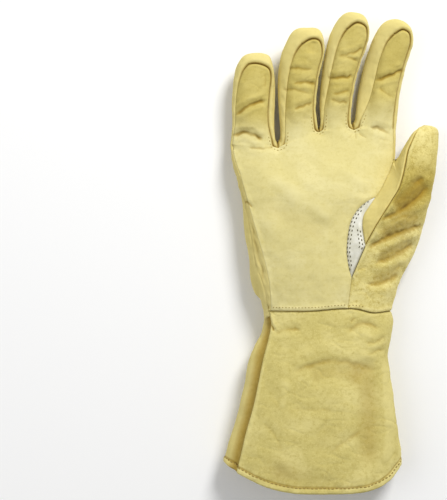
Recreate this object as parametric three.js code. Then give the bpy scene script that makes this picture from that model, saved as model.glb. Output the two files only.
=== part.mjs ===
// A cut-resistant work gauntlet for one hand, lying palm up.
// Millimetres. +X towards the thumb, +Y towards the fingertips, +Z up from the surface that it lies on.
// Every piece is a cloth wall: its outer surface is a grid between seam curves, and its inner surface follows it.
import * as THREE from 'three';

const WALL = 1.8;
const HALF_GAP = 0.15;
const FOUR_WAY_GAP = 1.3;
const FINGER_COLUMNS = 6;
const FINGER_ROWS = 9;
const BAND_COLUMNS = 3;
const HAND_ROWS = 12;
const CUFF_ROWS = 10;
const THUMB_COLUMNS = 6;
const THUMB_FREE_ROWS = 6;
const SECTION_POWER = 2.6;
const SECTION_SAMPLES = 72;
const SIDE_HEIGHT = 13.5;
const FLOOR_SINK = 1.5;
const FRONT_SEAM_HEIGHT = 16;
const TIP_SEAM_DROP = 0.5;
const FINGER_SIDE_HEIGHT = 10;
const BACK_SEAM_HEIGHT = 4;
const BACK_SEAM_INSET = 3.6;
const FINGER_RISE = 5;
const FINGER_CURL = 13;
const FINGER_REACH = 80;
const CROTCH_SPREAD = 0.72;
const BACK_SEAM_LOW_ANGLE = Math.PI + 0.42;
const WRIST_Y = -42.5;
const HEM_FRONT_Y = -177.5;
const HEM_BACK_Y = -169;
const HEM_SIDE_Y = -157;
const GATHER_DEPTH = 1.3;
const GATHER_LIFT = 1.6;
const ORIGIN_SHIFT = { x: -0.229, y: -0.429, z: 0 };

// Where each finger starts and ends: the side of the hand, three crotches, and the thumb side.
// side, front and back are the outermost line, the front seam and the back seam.
const FINGER_ENDS = [
  { sideX: -73.5, sideY: 79, frontX: -72.5, frontY: 79, frontZ: 15.5, backX: -69.6, backY: 79, backZ: 6 },
  { sideX: -38.8, sideY: 80.5, frontX: -38.6, frontY: 76.4, frontZ: 14.5, backX: -38.8, backY: 82, backZ: 4 },
  { sideX: -8.1, sideY: 91.5, frontX: -8.2, frontY: 88.6, frontZ: 14.5, backX: -8, backY: 93, backZ: 4 },
  { sideX: 17, sideY: 94, frontX: 17.6, frontY: 90.2, frontZ: 14.5, backX: 17, backY: 95.5, backZ: 4 },
  { sideX: 49, sideY: 91, frontX: 46.8, frontY: 91, frontZ: 15.5, backX: 45.5, backY: 91, backZ: 4 },
];

// Rows up one side of each finger, over its tip and down the other side.
const FINGERS = {
  little: [
    { sideX: -72.5, sideY: 94.5, frontX: -70.5, frontY: 94.5 },
    { sideX: -73, sideY: 109.5, frontX: -70, frontY: 108 },
    { sideX: -72.2, sideY: 122, frontX: -69, frontY: 119.5 },
    { sideX: -71.2, sideY: 131.5, frontX: -67.2, frontY: 127.5 },
    { sideX: -69, sideY: 139, frontX: -64.8, frontY: 134 },
    { sideX: -64, sideY: 145.8, frontX: -60.5, frontY: 138.8 },
    { sideX: -54.5, sideY: 147.6, frontX: -53.5, frontY: 139.4 },
    { sideX: -45.5, sideY: 145.4, frontX: -45.8, frontY: 136 },
    { sideX: -42.2, sideY: 138, frontX: -43.8, frontY: 130 },
    { sideX: -41, sideY: 127, frontX: -44.6, frontY: 121 },
    { sideX: -40.9, sideY: 112, frontX: -45.8, frontY: 107 },
    { sideX: -41.3, sideY: 98, frontX: -45.6, frontY: 93.5 },
    { sideX: -41, sideY: 86.5, frontX: -43, frontY: 82 },
  ],
  ring: [
    { sideX: -36.8, sideY: 86.5, frontX: -33.8, frontY: 82 },
    { sideX: -37.8, sideY: 102, frontX: -33.4, frontY: 97 },
    { sideX: -38.6, sideY: 118, frontX: -32.6, frontY: 114 },
    { sideX: -38, sideY: 135, frontX: -31, frontY: 130 },
    { sideX: -34.6, sideY: 150, frontX: -27, frontY: 145.5 },
    { sideX: -27.2, sideY: 163.6, frontX: -21.4, frontY: 153.6 },
    { sideX: -17.5, sideY: 166.6, frontX: -14, frontY: 157.6 },
    { sideX: -8.4, sideY: 165, frontX: -8.4, frontY: 156.2 },
    { sideX: -4.8, sideY: 153, frontX: -6, frontY: 147 },
    { sideX: -7.4, sideY: 138, frontX: -9, frontY: 134 },
    { sideX: -9.6, sideY: 122, frontX: -11.4, frontY: 119 },
    { sideX: -10.8, sideY: 107, frontX: -12.4, frontY: 105 },
    { sideX: -9.8, sideY: 95.5, frontX: -11.4, frontY: 93.5 },
  ],
  middle: [
    { sideX: -6.6, sideY: 95.5, frontX: -5.4, frontY: 93.5 },
    { sideX: -7.6, sideY: 109, frontX: -4.2, frontY: 107 },
    { sideX: -6.4, sideY: 126.5, frontX: -1.4, frontY: 122 },
    { sideX: -3.6, sideY: 146.5, frontX: 2, frontY: 140.5 },
    { sideX: 0.6, sideY: 163, frontX: 6, frontY: 155 },
    { sideX: 7.8, sideY: 174.6, frontX: 11.4, frontY: 164.4 },
    { sideX: 16.2, sideY: 177.8, frontX: 19, frontY: 169.4 },
    { sideX: 25, sideY: 174.4, frontX: 25.4, frontY: 166.4 },
    { sideX: 28, sideY: 162, frontX: 26.8, frontY: 158 },
    { sideX: 23.4, sideY: 145, frontX: 21.8, frontY: 142 },
    { sideX: 18.6, sideY: 127, frontX: 16.8, frontY: 124.5 },
    { sideX: 16, sideY: 111, frontX: 14.4, frontY: 109 },
    { sideX: 15, sideY: 98.5, frontX: 13.6, frontY: 95.5 },
  ],
  index: [
    { sideX: 18.8, sideY: 98.5, frontX: 22, frontY: 95.5 },
    { sideX: 20.8, sideY: 114, frontX: 29, frontY: 112 },
    { sideX: 24, sideY: 130, frontX: 33, frontY: 127.8 },
    { sideX: 28.2, sideY: 147, frontX: 36.2, frontY: 142.5 },
    { sideX: 34, sideY: 162, frontX: 41.5, frontY: 155.5 },
    { sideX: 40.4, sideY: 170.2, frontX: 46.6, frontY: 161.2 },
    { sideX: 49.2, sideY: 172.7, frontX: 52.6, frontY: 164.4 },
    { sideX: 57.6, sideY: 168, frontX: 57.6, frontY: 161.6 },
    { sideX: 60.6, sideY: 157.5, frontX: 58.6, frontY: 154.5 },
    { sideX: 57, sideY: 141, frontX: 54.4, frontY: 139.5 },
    { sideX: 53, sideY: 124, frontX: 50.2, frontY: 122.5 },
    { sideX: 51.2, sideY: 111, frontX: 48.4, frontY: 110 },
    { sideX: 50.2, sideY: 99.5, frontX: 47.2, frontY: 99.5 },
  ],
};

// The hand below the fingers, a row for each height y: outermost lines, seams, and the height of its crown.
const HAND = [
  { y: 82, left: -73.5, backSeam: -70.5, frontSeam: -72.5, right: 49, thumbSeam: 45.5, crown: 23 },
  { y: 70, left: -73.5, backSeam: -72.7, frontSeam: -71.4, right: 49, thumbSeam: 45.2, crown: 27 },
  { y: 54, left: -69.2, backSeam: -68, frontSeam: -66.4, right: 50, thumbSeam: 44.6, crown: 31 },
  { y: 34, left: -65, backSeam: -63.4, frontSeam: -60.8, right: 51, thumbSeam: 43.2, crown: 33.5 },
  { y: 12, left: -63, backSeam: -59.5, frontSeam: -54.7, right: 51, thumbSeam: 41.7, crown: 34 },
  { y: -10, left: -59.7, backSeam: -55.6, frontSeam: -48.4, right: 49, thumbSeam: 40.6, crown: 33 },
  { y: -26, left: -56.6, backSeam: -50, frontSeam: -45.2, right: 47, thumbSeam: 39.9, crown: 31.5 },
  { y: -42.5, left: -50, backSeam: -46.2, frontSeam: -44, right: 45.4, thumbSeam: 39.5, crown: 30 },
];

// The cuff from the wrist (part 0) to the hem (part 1).
const CUFF = [
  { part: 0, left: -50, seam: -46.2, right: 45.4, backSeam: 39.5, crown: 30 },
  { part: 0.08, left: -49.2, seam: -44, right: 45.8, backSeam: 40, crown: 30.5 },
  { part: 0.18, left: -52.6, seam: -46, right: 43.9, backSeam: 38.6, crown: 31.5 },
  { part: 0.3, left: -59, seam: -50, right: 42.7, backSeam: 38, crown: 33 },
  { part: 0.43, left: -62.3, seam: -53, right: 44, backSeam: 39.8, crown: 34.5 },
  { part: 0.59, left: -66.2, seam: -57, right: 46.8, backSeam: 43.2, crown: 35.5 },
  { part: 0.75, left: -70.7, seam: -62.2, right: 49.4, backSeam: 46.2, crown: 36 },
  { part: 0.9, left: -76, seam: -66.8, right: 51.6, backSeam: 48.6, crown: 36 },
  { part: 1, left: -79, seam: -69.6, right: 51.8, backSeam: 49, crown: 35.6 },
];

// Seams round the thumb, each from its upper end to its lower end.
const WEB = { x: 47.4, y: 66, z: 15.5 };
const PATCH_TOP = { x: 32, y: 39.5, z: 26 };
const PATCH_TURN = { x: 24, y: 3, z: 35 };
const PATCH_FOOT = { x: 14.5, y: -20, z: 31 };
const THUMB_TIP = { x: 69.5, y: 93.8, z: 17 };
const PALM_TO_WEB = [{ x: 47.4, y: 79, z: 15.2 }];
const PALM_BY_THUMB = [{ x: 40.8, y: 54, z: 20.5 }, { x: 36.2, y: 45.5, z: 24.4 }];
const PALM_BY_PATCH = [
  { x: 25, y: 35.5, z: 27 },
  { x: 18.6, y: 29.5, z: 27.8 },
  { x: 14.3, y: 22, z: 28.3 },
  { x: 11.8, y: 11, z: 28.8 },
  { x: 11, y: 0, z: 29.4 },
  { x: 12, y: -10, z: 30.2 },
];
const PATCH_BY_THUMB_FRONT = [
  { x: 27, y: 32.5, z: 28.2 },
  { x: 23.2, y: 26.5, z: 29.6 },
  { x: 22, y: 20, z: 30.6 },
  { x: 22.5, y: 12.5, z: 32.2 },
];
const PATCH_BY_THUMB_BACK = [{ x: 19, y: -9, z: 33 }];
const THUMB_RIDGE = [
  { x: 63, y: 87.5, z: 26 },
  { x: 59.5, y: 81, z: 29 },
  { x: 56, y: 73, z: 31.5 },
  { x: 54, y: 64, z: 34 },
  { x: 52, y: 55.5, z: 36 },
  { x: 48.5, y: 45, z: 38 },
  { x: 42.5, y: 35.5, z: 39.4 },
  { x: 36, y: 25, z: 39.6 },
  { x: 30, y: 14.5, z: 38 },
];
const THUMB_UNDERSIDE = [
  { x: 69.5, y: 89, z: 9 },
  { x: 65, y: 81, z: 5.5 },
  { x: 58.5, y: 73.5, z: 5.5 },
  { x: 51.5, y: 68, z: 9 },
];
const THUMB_OUTSIDE = [
  { x: 78.6, y: 89.5, z: 16 },
  { x: 79.4, y: 81, z: 16 },
  { x: 78, y: 68.5, z: 17 },
  { x: 76, y: 54, z: 18 },
  { x: 73.5, y: 42, z: 18.5 },
  { x: 70, y: 27, z: 19 },
  { x: 66.6, y: 15, z: 19 },
  { x: 63.4, y: 6, z: 18.5 },
  { x: 59.2, y: -3.5, z: 18 },
  { x: 54.4, y: -13, z: 17 },
  { x: 49.4, y: -25, z: 15 },
];
const THUMB_SIDE_SEAM = [
  { x: 49, y: 50, z: 12 },
  { x: 50, y: 35, z: 9 },
  { x: 49.5, y: 12, z: 7.5 },
  { x: 47.6, y: -13, z: 7.5 },
  { x: 46, y: -30, z: 8.5 },
];
const THUMB_FRONT_BULGE = [0, 4, 5, 5.2, 5, 4, 2.2, 1.2, 0.8, 0.8, 0.8, 0.6, 0];

// Main folds of the upper side: a line, how deep it is and how far it reaches to each side.
const FOLDS = [
  { x1: 37, y1: 26, x2: 66, y2: 38, depth: 2.2, reach: 6 },
  { x1: 32, y1: 6, x2: 64, y2: 17, depth: 1.8, reach: 5 },
  { x1: 44, y1: -7, x2: 60, y2: 2, depth: 1.4, reach: 5 },
  { x1: 29, y1: -23, x2: 48, y2: -20, depth: 1.4, reach: 5 },
  { x1: 11, y1: -61, x2: 34, y2: -56, depth: 2, reach: 6 },
  { x1: -22, y1: -87, x2: 28, y2: -86, depth: 1.6, reach: 7 },
  { x1: -69, y1: 104, x2: -48, y2: 113, depth: 1.4, reach: 4 },
  { x1: -70, y1: 86, x2: -48, y2: 84, depth: 1.4, reach: 4 },
  { x1: -24, y1: 124, x2: -10, y2: 124.5, depth: 1.4, reach: 4 },
  { x1: 2, y1: 128, x2: 18, y2: 128.5, depth: 1.4, reach: 4 },
  { x1: 34, y1: 126, x2: 51, y2: 133, depth: 1.4, reach: 4 },
];

const clamp = (value, low, high) => Math.min(high, Math.max(low, value));
const mix = (a, b, t) => a + (b - a) * t;
const smooth = (t) => clamp(t, 0, 1) ** 2 * (3 - 2 * clamp(t, 0, 1));
const vector = (point) => new THREE.Vector3(point.x, point.y, point.z);

// Value of one column of a table between its rows, on a smooth curve through them.
function lookUp(rows, key, at, column) {
  const rising = rows[rows.length - 1][key] > rows[0][key];
  let i = 0;
  while (i < rows.length - 2 && (rising ? at > rows[i + 1][key] : at < rows[i + 1][key])) {
    i += 1;
  }
  const span = rows[i + 1][key] - rows[i][key];
  const t = clamp((at - rows[i][key]) / span, 0, 1);
  const slope = (k) => {
    const before = rows[Math.max(0, k - 1)];
    const after = rows[Math.min(rows.length - 1, k + 1)];
    return ((after[column] - before[column]) / (after[key] - before[key])) * span;
  };
  const from = rows[i][column];
  const to = rows[i + 1][column];
  return from * (1 + 2 * t) * (1 - t) ** 2 + slope(i) * t * (1 - t) ** 2
    + to * t * t * (3 - 2 * t) + slope(i + 1) * t * t * (t - 1);
}

// Points evenly spaced along a smooth curve through the given ones.
function spaced(points, count) {
  return new THREE.CatmullRomCurve3(points.map(vector), false, 'centripetal').getSpacedPoints(count);
}

function joined(...runs) {
  return runs.reduce((all, run) => all.concat(all.length > 0 ? run.slice(1) : run), []);
}

// Closed cross-section of hand or cuff: a rounded oval whose underside is flattened on the surface.
function sectionPoint(row, angle) {
  const across = Math.sign(Math.cos(angle)) * Math.abs(Math.cos(angle)) ** (2 / SECTION_POWER);
  const up = Math.sign(Math.sin(angle)) * Math.abs(Math.sin(angle)) ** (2 / SECTION_POWER);
  const x = mix(row.left, row.right, (across + 1) / 2);
  const z = up > 0 ? mix(SIDE_HEIGHT, row.crown, up) : mix(SIDE_HEIGHT, -FLOOR_SINK, -up);
  return new THREE.Vector3(x, row.yAt(across, up), Math.max(0, z));
}

// Angle at which the section reaches x, on its upper or its lower side.
function sectionAngle(row, x, upper) {
  const across = clamp(((x - row.left) / (row.right - row.left)) * 2 - 1, -1, 1);
  const angle = Math.acos(Math.sign(across) * Math.abs(across) ** (SECTION_POWER / 2));
  return upper ? angle : -angle;
}

// Points evenly spaced along the section from one angle to another.
function sectionRun(row, from, to, count) {
  const samples = [];
  for (let i = 0; i <= SECTION_SAMPLES; i += 1) {
    samples.push(sectionPoint(row, mix(from, to, i / SECTION_SAMPLES)));
  }
  const reach = [0];
  for (let i = 1; i < samples.length; i += 1) {
    reach.push(reach[i - 1] + samples[i].distanceTo(samples[i - 1]));
  }
  const points = [];
  let k = 0;
  for (let i = 0; i <= count; i += 1) {
    const goal = (reach[SECTION_SAMPLES] * i) / count;
    while (k < SECTION_SAMPLES - 1 && reach[k + 1] < goal) {
      k += 1;
    }
    const t = clamp((goal - reach[k]) / (reach[k + 1] - reach[k]), 0, 1);
    points.push(samples[k].clone().lerp(samples[k + 1], t));
  }
  return points;
}

function handRow(part) {
  const leftY = mix(FINGER_ENDS[0].backY, WRIST_Y, part);
  const rightY = mix(FINGER_ENDS[4].backY, WRIST_Y, part);
  const middleY = (leftY + rightY) / 2;
  return {
    left: lookUp(HAND, 'y', leftY, 'left'),
    right: lookUp(HAND, 'y', rightY, 'right'),
    crown: lookUp(HAND, 'y', middleY, 'crown'),
    backSeam: lookUp(HAND, 'y', leftY, 'backSeam'),
    frontSeam: lookUp(HAND, 'y', leftY, 'frontSeam'),
    thumbSeam: lookUp(HAND, 'y', rightY, 'thumbSeam'),
    yAt: (across) => mix(leftY, rightY, (across + 1) / 2),
  };
}

// The hem is a bow: lowest in the middle of the front, a little higher at the back.
function cuffRow(part) {
  const yAt = (across, up) => {
    const bend = Math.abs(across) ** (across < 0 ? 1.9 : 4);
    const front = mix(HEM_FRONT_Y, HEM_SIDE_Y, bend);
    const back = mix(HEM_BACK_Y, HEM_SIDE_Y, bend);
    return mix(WRIST_Y, mix(back, front, (up + 1) / 2), part);
  };
  const row = { yAt };
  for (const column of ['left', 'right', 'crown', 'seam', 'backSeam']) {
    row[column] = lookUp(CUFF, 'part', part, column);
  }
  return row;
}

// A patch between four edges: each point blends the edges that it lies between.
function coons(bottom, top, left, right) {
  const columns = bottom.length - 1;
  const rows = left.length - 1;
  const grid = [];
  for (let i = 0; i <= rows; i += 1) {
    const v = i / rows;
    const line = [];
    for (let j = 0; j <= columns; j += 1) {
      const u = j / columns;
      const point = new THREE.Vector3();
      point.addScaledVector(bottom[j], 1 - v).addScaledVector(top[j], v);
      point.addScaledVector(left[i], 1 - u).addScaledVector(right[i], u);
      point.addScaledVector(bottom[0], -(1 - u) * (1 - v)).addScaledVector(bottom[columns], -u * (1 - v));
      point.addScaledVector(top[0], -(1 - u) * v).addScaledVector(top[columns], -u * v);
      line.push(point);
    }
    grid.push(line);
  }
  for (let j = 0; j <= columns; j += 1) {
    grid[0][j].copy(bottom[j]);
    grid[rows][j].copy(top[j]);
  }
  for (let i = 0; i <= rows; i += 1) {
    grid[i][0].copy(left[i]);
    grid[i][columns].copy(right[i]);
  }
  return grid;
}

// Half an oval from one seam over a middle point to the other seam.
function halfOval(from, middle, to, count) {
  const centre = from.clone().add(to).multiplyScalar(0.5);
  const toSeam = from.clone().sub(centre);
  const outwards = middle.clone().sub(centre);
  const points = [];
  for (let i = 0; i <= count; i += 1) {
    const angle = (Math.PI * i) / count;
    points.push(centre.clone().addScaledVector(toSeam, Math.cos(angle)).addScaledVector(outwards, Math.sin(angle)));
  }
  points[0].copy(from);
  points[count].copy(to);
  return points;
}

// The three lines round a finger: outermost line, front seam and back seam, row by row.
function fingerLines(name, endIndex) {
  const table = FINGERS[name];
  const start = FINGER_ENDS[endIndex];
  const stop = FINGER_ENDS[endIndex + 1];
  const last = table.length - 1;
  const tipRow = last / 2;
  const tipCore = vector({
    x: (table[tipRow - 2].sideX + table[tipRow + 2].sideX) / 2,
    y: (table[tipRow - 2].sideY + table[tipRow + 2].sideY) / 2,
    z: 0,
  });
  const sides = [vector({ x: start.sideX, y: start.sideY, z: FINGER_SIDE_HEIGHT })];
  const fronts = [vector({ x: start.frontX, y: start.frontY, z: start.frontZ })];
  const backs = [vector({ x: start.backX, y: start.backY, z: start.backZ })];
  table.forEach((row, i) => {
    const other = table[last - i];
    const tipness = smooth(1 - Math.abs(i - tipRow) / 3);
    const core = vector({ x: (row.sideX + other.sideX) / 2, y: (row.sideY + other.sideY) / 2, z: 0 });
    core.lerp(tipCore, tipness);
    const side = vector({ x: row.sideX, y: row.sideY, z: 0 });
    const back = side.clone().addScaledVector(core.clone().sub(side).normalize(), BACK_SEAM_INSET);
    side.z = mix(FINGER_SIDE_HEIGHT, FINGER_SIDE_HEIGHT - 1, tipness);
    back.z = BACK_SEAM_HEIGHT;
    sides.push(side);
    backs.push(back);
    fronts.push(vector({ x: row.frontX, y: row.frontY, z: FRONT_SEAM_HEIGHT - TIP_SEAM_DROP * tipness }));
  });
  sides.push(vector({ x: stop.sideX, y: stop.sideY, z: FINGER_SIDE_HEIGHT }));
  fronts.push(vector({ x: stop.frontX, y: stop.frontY, z: stop.frontZ }));
  backs.push(vector({ x: stop.backX, y: stop.backY, z: stop.backZ }));
  for (const line of [sides, fronts, backs]) {
    line.splice(line.length - 1, 0, bend(line[line.length - 1], line[line.length - 2], endIndex < 3));
    line.splice(1, 0, bend(line[0], line[1], endIndex > 0));
  }
  return { side: sampleRows(sides), front: sampleRows(fronts), back: sampleRows(backs) };
}

// A point between the end of a finger line and its next row, which turns a crotch from a V into a U.
function bend(end, next, atCrotch) {
  const point = end.clone().lerp(next, 0.5);
  if (atCrotch) {
    point.x = mix(end.x, next.x, CROTCH_SPREAD);
    point.y = mix(end.y, next.y, 1 - CROTCH_SPREAD);
  }
  return point;
}

// Samples a finger line so that its sides and its tip get the rows and columns of the panels that they border.
function sampleRows(points) {
  const curve = new THREE.CatmullRomCurve3(points, false, 'centripetal');
  const last = points.length - 1;
  const shoulder = last / 2 - 1;
  const samples = [];
  for (let i = 0; i < FINGER_ROWS; i += 1) {
    samples.push(curve.getPoint((shoulder * i) / FINGER_ROWS / last));
  }
  for (let i = 0; i < FINGER_COLUMNS; i += 1) {
    samples.push(curve.getPoint((shoulder + (2 * i) / FINGER_COLUMNS) / last));
  }
  for (let i = 0; i <= FINGER_ROWS; i += 1) {
    samples.push(curve.getPoint((shoulder + 2 + (shoulder * i) / FINGER_ROWS) / last));
  }
  return samples;
}

// Base line of a finger panel, from one end to the next, arched up (front) or down (back).
function baseLine(from, to, rise) {
  const line = [];
  for (let j = 0; j <= FINGER_COLUMNS; j += 1) {
    const u = j / FINGER_COLUMNS;
    const point = from.clone().lerp(to, u);
    point.z = Math.max(0, point.z + rise * (1 - (2 * u - 1) ** 4));
    line.push(point);
  }
  return line;
}

// One face of a finger: a patch between its base line and its seam, domed outwards.
function fingerPanel(line, base, rise) {
  const left = line.slice(0, FINGER_ROWS + 1);
  const top = line.slice(FINGER_ROWS, FINGER_ROWS + FINGER_COLUMNS + 1);
  const right = line.slice(FINGER_ROWS + FINGER_COLUMNS).reverse();
  const grid = coons(base, top, left, right);
  for (let i = 1; i < FINGER_ROWS; i += 1) {
    const along = 1 - (i / FINGER_ROWS) ** 4;
    for (let j = 1; j < FINGER_COLUMNS; j += 1) {
      const u = j / FINGER_COLUMNS;
      const dome = rise * (1 - (2 * u - 1) ** 4) * along;
      grid[i][j].z = Math.max(0, mix(left[i].z, right[i].z, u) + dome);
    }
  }
  return grid;
}

// Evens out the heights inside a grid, leaving its edges and what lies on the surface.
function relax(grid, passes) {
  for (let pass = 0; pass < passes; pass += 1) {
    const before = grid.map((line) => line.map((point) => point.z));
    for (let i = 1; i < grid.length - 1; i += 1) {
      for (let j = 1; j < grid[i].length - 1; j += 1) {
        const around = before[i - 1][j] + before[i + 1][j] + before[i][j - 1] + before[i][j + 1];
        grid[i][j].z = Math.max(0, mix(before[i][j], around / 4, 0.5));
      }
    }
  }
}

function foldDepth(point) {
  let depth = 0;
  for (const fold of FOLDS) {
    const dx = fold.x2 - fold.x1;
    const dy = fold.y2 - fold.y1;
    const along = clamp(((point.x - fold.x1) * dx + (point.y - fold.y1) * dy) / (dx * dx + dy * dy), 0, 1);
    const away = Math.hypot(point.x - fold.x1 - dx * along, point.y - fold.y1 - dy * along);
    depth = Math.max(depth, fold.depth * smooth(1 - away / fold.reach));
  }
  return depth * smooth((point.z - 12) / 8);
}

// The fingers curl up: their height grows with the square of the distance from the line of their bases.
function fingerLift(point) {
  let i = 0;
  while (i < FINGER_ENDS.length - 2 && point.x > FINGER_ENDS[i + 1].sideX) {
    i += 1;
  }
  const from = FINGER_ENDS[i];
  const to = FINGER_ENDS[i + 1];
  const t = clamp((point.x - from.sideX) / (to.sideX - from.sideX), 0, 1);
  const distance = Math.max(0, point.y - mix(from.sideY, to.sideY, t));
  return FINGER_CURL * (distance / FINGER_REACH) ** 2;
}

const pieces = new Map();

// Adds a grid of points to a piece as triangles facing away from the core point.
function addGrid(name, grid, core) {
  const triangles = [];
  let outwards = 0;
  for (let i = 0; i < grid.length - 1; i += 1) {
    for (let j = 0; j < grid[i].length - 1; j += 1) {
      const a = grid[i][j];
      const b = grid[i][j + 1];
      const c = grid[i + 1][j + 1];
      const d = grid[i + 1][j];
      triangles.push([a, b, c], [a, c, d]);
    }
  }
  for (const [a, b, c] of triangles) {
    const normal = b.clone().sub(a).cross(c.clone().sub(a));
    outwards += normal.dot(a.clone().sub(core));
  }
  const facing = outwards > 0 ? triangles : triangles.map(([a, b, c]) => [a, c, b]);
  pieces.set(name, (pieces.get(name) ?? []).concat(facing));
}

const keyOf = (point) => `${point.x.toFixed(4)} ${point.y.toFixed(4)} ${point.z.toFixed(4)}`;

// Directions out of the cloth at every point, shared by the pieces that meet there, and how many pieces do.
function sharedNormals() {
  const normals = new Map();
  const meeting = new Map();
  for (const [name, triangles] of pieces) {
    for (const corners of triangles) {
      corners.forEach((corner) => {
        meeting.set(keyOf(corner), (meeting.get(keyOf(corner)) ?? new Set()).add(name));
      });
      const normal = corners[1].clone().sub(corners[0]).cross(corners[2].clone().sub(corners[0]));
      if (normal.length() < 1e-6) {
        continue;
      }
      normal.normalize();
      corners.forEach((corner, i) => {
        const one = corners[(i + 1) % 3].clone().sub(corner);
        const two = corners[(i + 2) % 3].clone().sub(corner);
        const sum = normals.get(keyOf(corner)) ?? new THREE.Vector3();
        normals.set(keyOf(corner), sum.addScaledVector(normal, one.angleTo(two)));
      });
    }
  }
  for (const normal of normals.values()) {
    normal.normalize();
  }
  return { normals, meeting };
}

// Gives a surface its thickness: outer skin, inner skin and a wall along every open edge.
// Two pieces that meet cut their walls along the same diagonals, so the walls stay apart.
function thicken(triangles, { normals, meeting }) {
  const index = new Map();
  const points = [];
  const gaps = [];
  const directions = [];
  const faces = [];
  for (const corners of triangles) {
    const face = corners.map((corner) => {
      const key = keyOf(corner);
      if (!index.has(key)) {
        index.set(key, points.length);
        points.push(corner.clone());
        directions.push(normals.get(key));
        gaps.push(meeting.get(key).size > 3 ? FOUR_WAY_GAP : HALF_GAP);
      }
      return index.get(key);
    });
    if (new Set(face).size === 3) {
      faces.push(face);
    }
  }
  const edges = new Map();
  for (const face of faces) {
    for (let i = 0; i < 3; i += 1) {
      const a = face[i];
      const b = face[(i + 1) % 3];
      if (!edges.delete(`${b} ${a}`)) {
        edges.set(`${a} ${b}`, [a, b]);
      }
    }
  }
  const shifts = points.map(() => []);
  for (const [a, b] of edges.values()) {
    const along = points[b].clone().sub(points[a]).normalize();
    for (const corner of [a, b]) {
      shifts[corner].push(directions[corner].clone().cross(along).normalize());
    }
  }
  const outer = points.map((point, i) => {
    const moved = point.clone();
    if (shifts[i].length > 0) {
      const sum = shifts[i].reduce((all, one) => all.add(one), new THREE.Vector3());
      const reach = Math.max(0.5, sum.length() ** 2 / shifts[i].length);
      moved.addScaledVector(sum, gaps[i] / reach);
    }
    return moved;
  });
  const inner = outer.map((point, i) => point.clone().addScaledVector(directions[i], -WALL));
  const all = outer.concat(inner);
  const count = outer.length;
  const indices = [];
  for (const [a, b, c] of faces) {
    indices.push(a, b, c, a + count, c + count, b + count);
  }
  for (const [a, b] of edges.values()) {
    if (keyOf(points[a]) < keyOf(points[b])) {
      indices.push(b, a, a + count, b, a + count, b + count);
    } else {
      indices.push(b, a, b + count, a, a + count, b + count);
    }
  }
  const geometry = new THREE.BufferGeometry();
  const flat = all.flatMap((p) => [p.x + ORIGIN_SHIFT.x, p.y + ORIGIN_SHIFT.y, p.z + ORIGIN_SHIFT.z]);
  geometry.setAttribute('position', new THREE.Float32BufferAttribute(flat, 3));
  geometry.setIndex(indices);
  geometry.computeVertexNormals();
  return geometry;
}

// Rows across the hand below the fingers, each a closed section cut at its seams.
const handRows = [];
for (let i = 0; i <= HAND_ROWS; i += 1) {
  const row = handRow(i / HAND_ROWS);
  row.backAngle = mix(BACK_SEAM_LOW_ANGLE, sectionAngle(row, row.backSeam, true), smooth(i / 4));
  row.frontAngle = sectionAngle(row, row.frontSeam, true);
  row.thumbAngle = sectionAngle(row, row.thumbSeam, false);
  handRows.push(row);
}
const wrist = handRows[HAND_ROWS];
const palmCornerAngle = sectionAngle(wrist, 12, true);
const sideCornerAngle = sectionAngle(wrist, 44.4, false);

const names = Object.keys(FINGERS);
const lines = names.map((name, i) => fingerLines(name, i));
const lastPoint = 2 * FINGER_ROWS + FINGER_COLUMNS;

// Palm and finger fronts.
const frontBases = lines.map((line) => baseLine(line.front[0], line.front[lastPoint], FINGER_RISE));
const palmTop = joined(...frontBases);
const palmLeft = handRows.map((row, i) => (i === 0 ? palmTop[0].clone() : sectionPoint(row, row.frontAngle)));
const wristCorner = sectionPoint(wrist, palmCornerAngle);
const web = vector(WEB);
const palmRight = joined(
  spaced([palmTop[palmTop.length - 1], ...PALM_TO_WEB, WEB], 2),
  spaced([WEB, ...PALM_BY_THUMB, PATCH_TOP], 3),
  spaced([PATCH_TOP, ...PALM_BY_PATCH, PATCH_FOOT], 5),
  spaced([PATCH_FOOT, wristCorner], 2),
);
const palmBottom = sectionRun(wrist, wrist.frontAngle, palmCornerAngle, palmTop.length - 1);
const palmGrid = coons(palmTop, palmBottom, palmLeft, palmRight);
for (let i = 1; i < HAND_ROWS; i += 1) {
  const row = handRows[i];
  const line = palmGrid[i];
  const end = line[line.length - 1];
  const crownAt = (x) => sectionPoint(row, sectionAngle(row, x, true)).z;
  const miss = end.z - crownAt(end.x);
  for (let j = 1; j < line.length - 1; j += 1) {
    const u = j / (line.length - 1);
    const height = crownAt(line[j].x) + miss * u ** 3;
    line[j].z = mix(line[j].z, height, smooth(i / 3));
  }
}
relax(palmGrid, 3);
addGrid('palm_panel', palmGrid, new THREE.Vector3(0, 0, -500));
lines.forEach((line, i) => {
  const grid = fingerPanel(line.front, frontBases[i], FINGER_RISE);
  addGrid('palm_panel', grid, new THREE.Vector3(0, 100, -500));
});

// Back of the hand, finger backs and the back of the cuff.
const backBases = lines.map((line) => baseLine(line.back[0], line.back[lastPoint], -BACK_SEAM_HEIGHT));
const backTop = joined(...backBases);
const backColumns = backTop.length - 1;
const backGrid = handRows.map((row, i) => {
  const run = sectionRun(row, row.backAngle, 2 * Math.PI + row.thumbAngle, backColumns);
  const hold = smooth(1 - i / 5);
  return run.map((point, j) => {
    const chord = backTop[0].clone().lerp(backTop[backColumns], j / backColumns);
    const fromTop = backTop[j].clone().sub(chord);
    return point.addScaledVector(new THREE.Vector3(0, fromTop.y, fromTop.z * 0.6), i === 0 ? 0 : hold);
  });
});
backGrid[0] = backTop.map((point) => point.clone());
relax(backGrid, 2);
const cuffRows = [];
for (let i = 0; i <= CUFF_ROWS; i += 1) {
  const row = cuffRow(i / CUFF_ROWS);
  row.seamAngle = sectionAngle(row, row.seam, true);
  row.backAngle = sectionAngle(row, row.backSeam, false);
  cuffRows.push(row);
}
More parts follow.
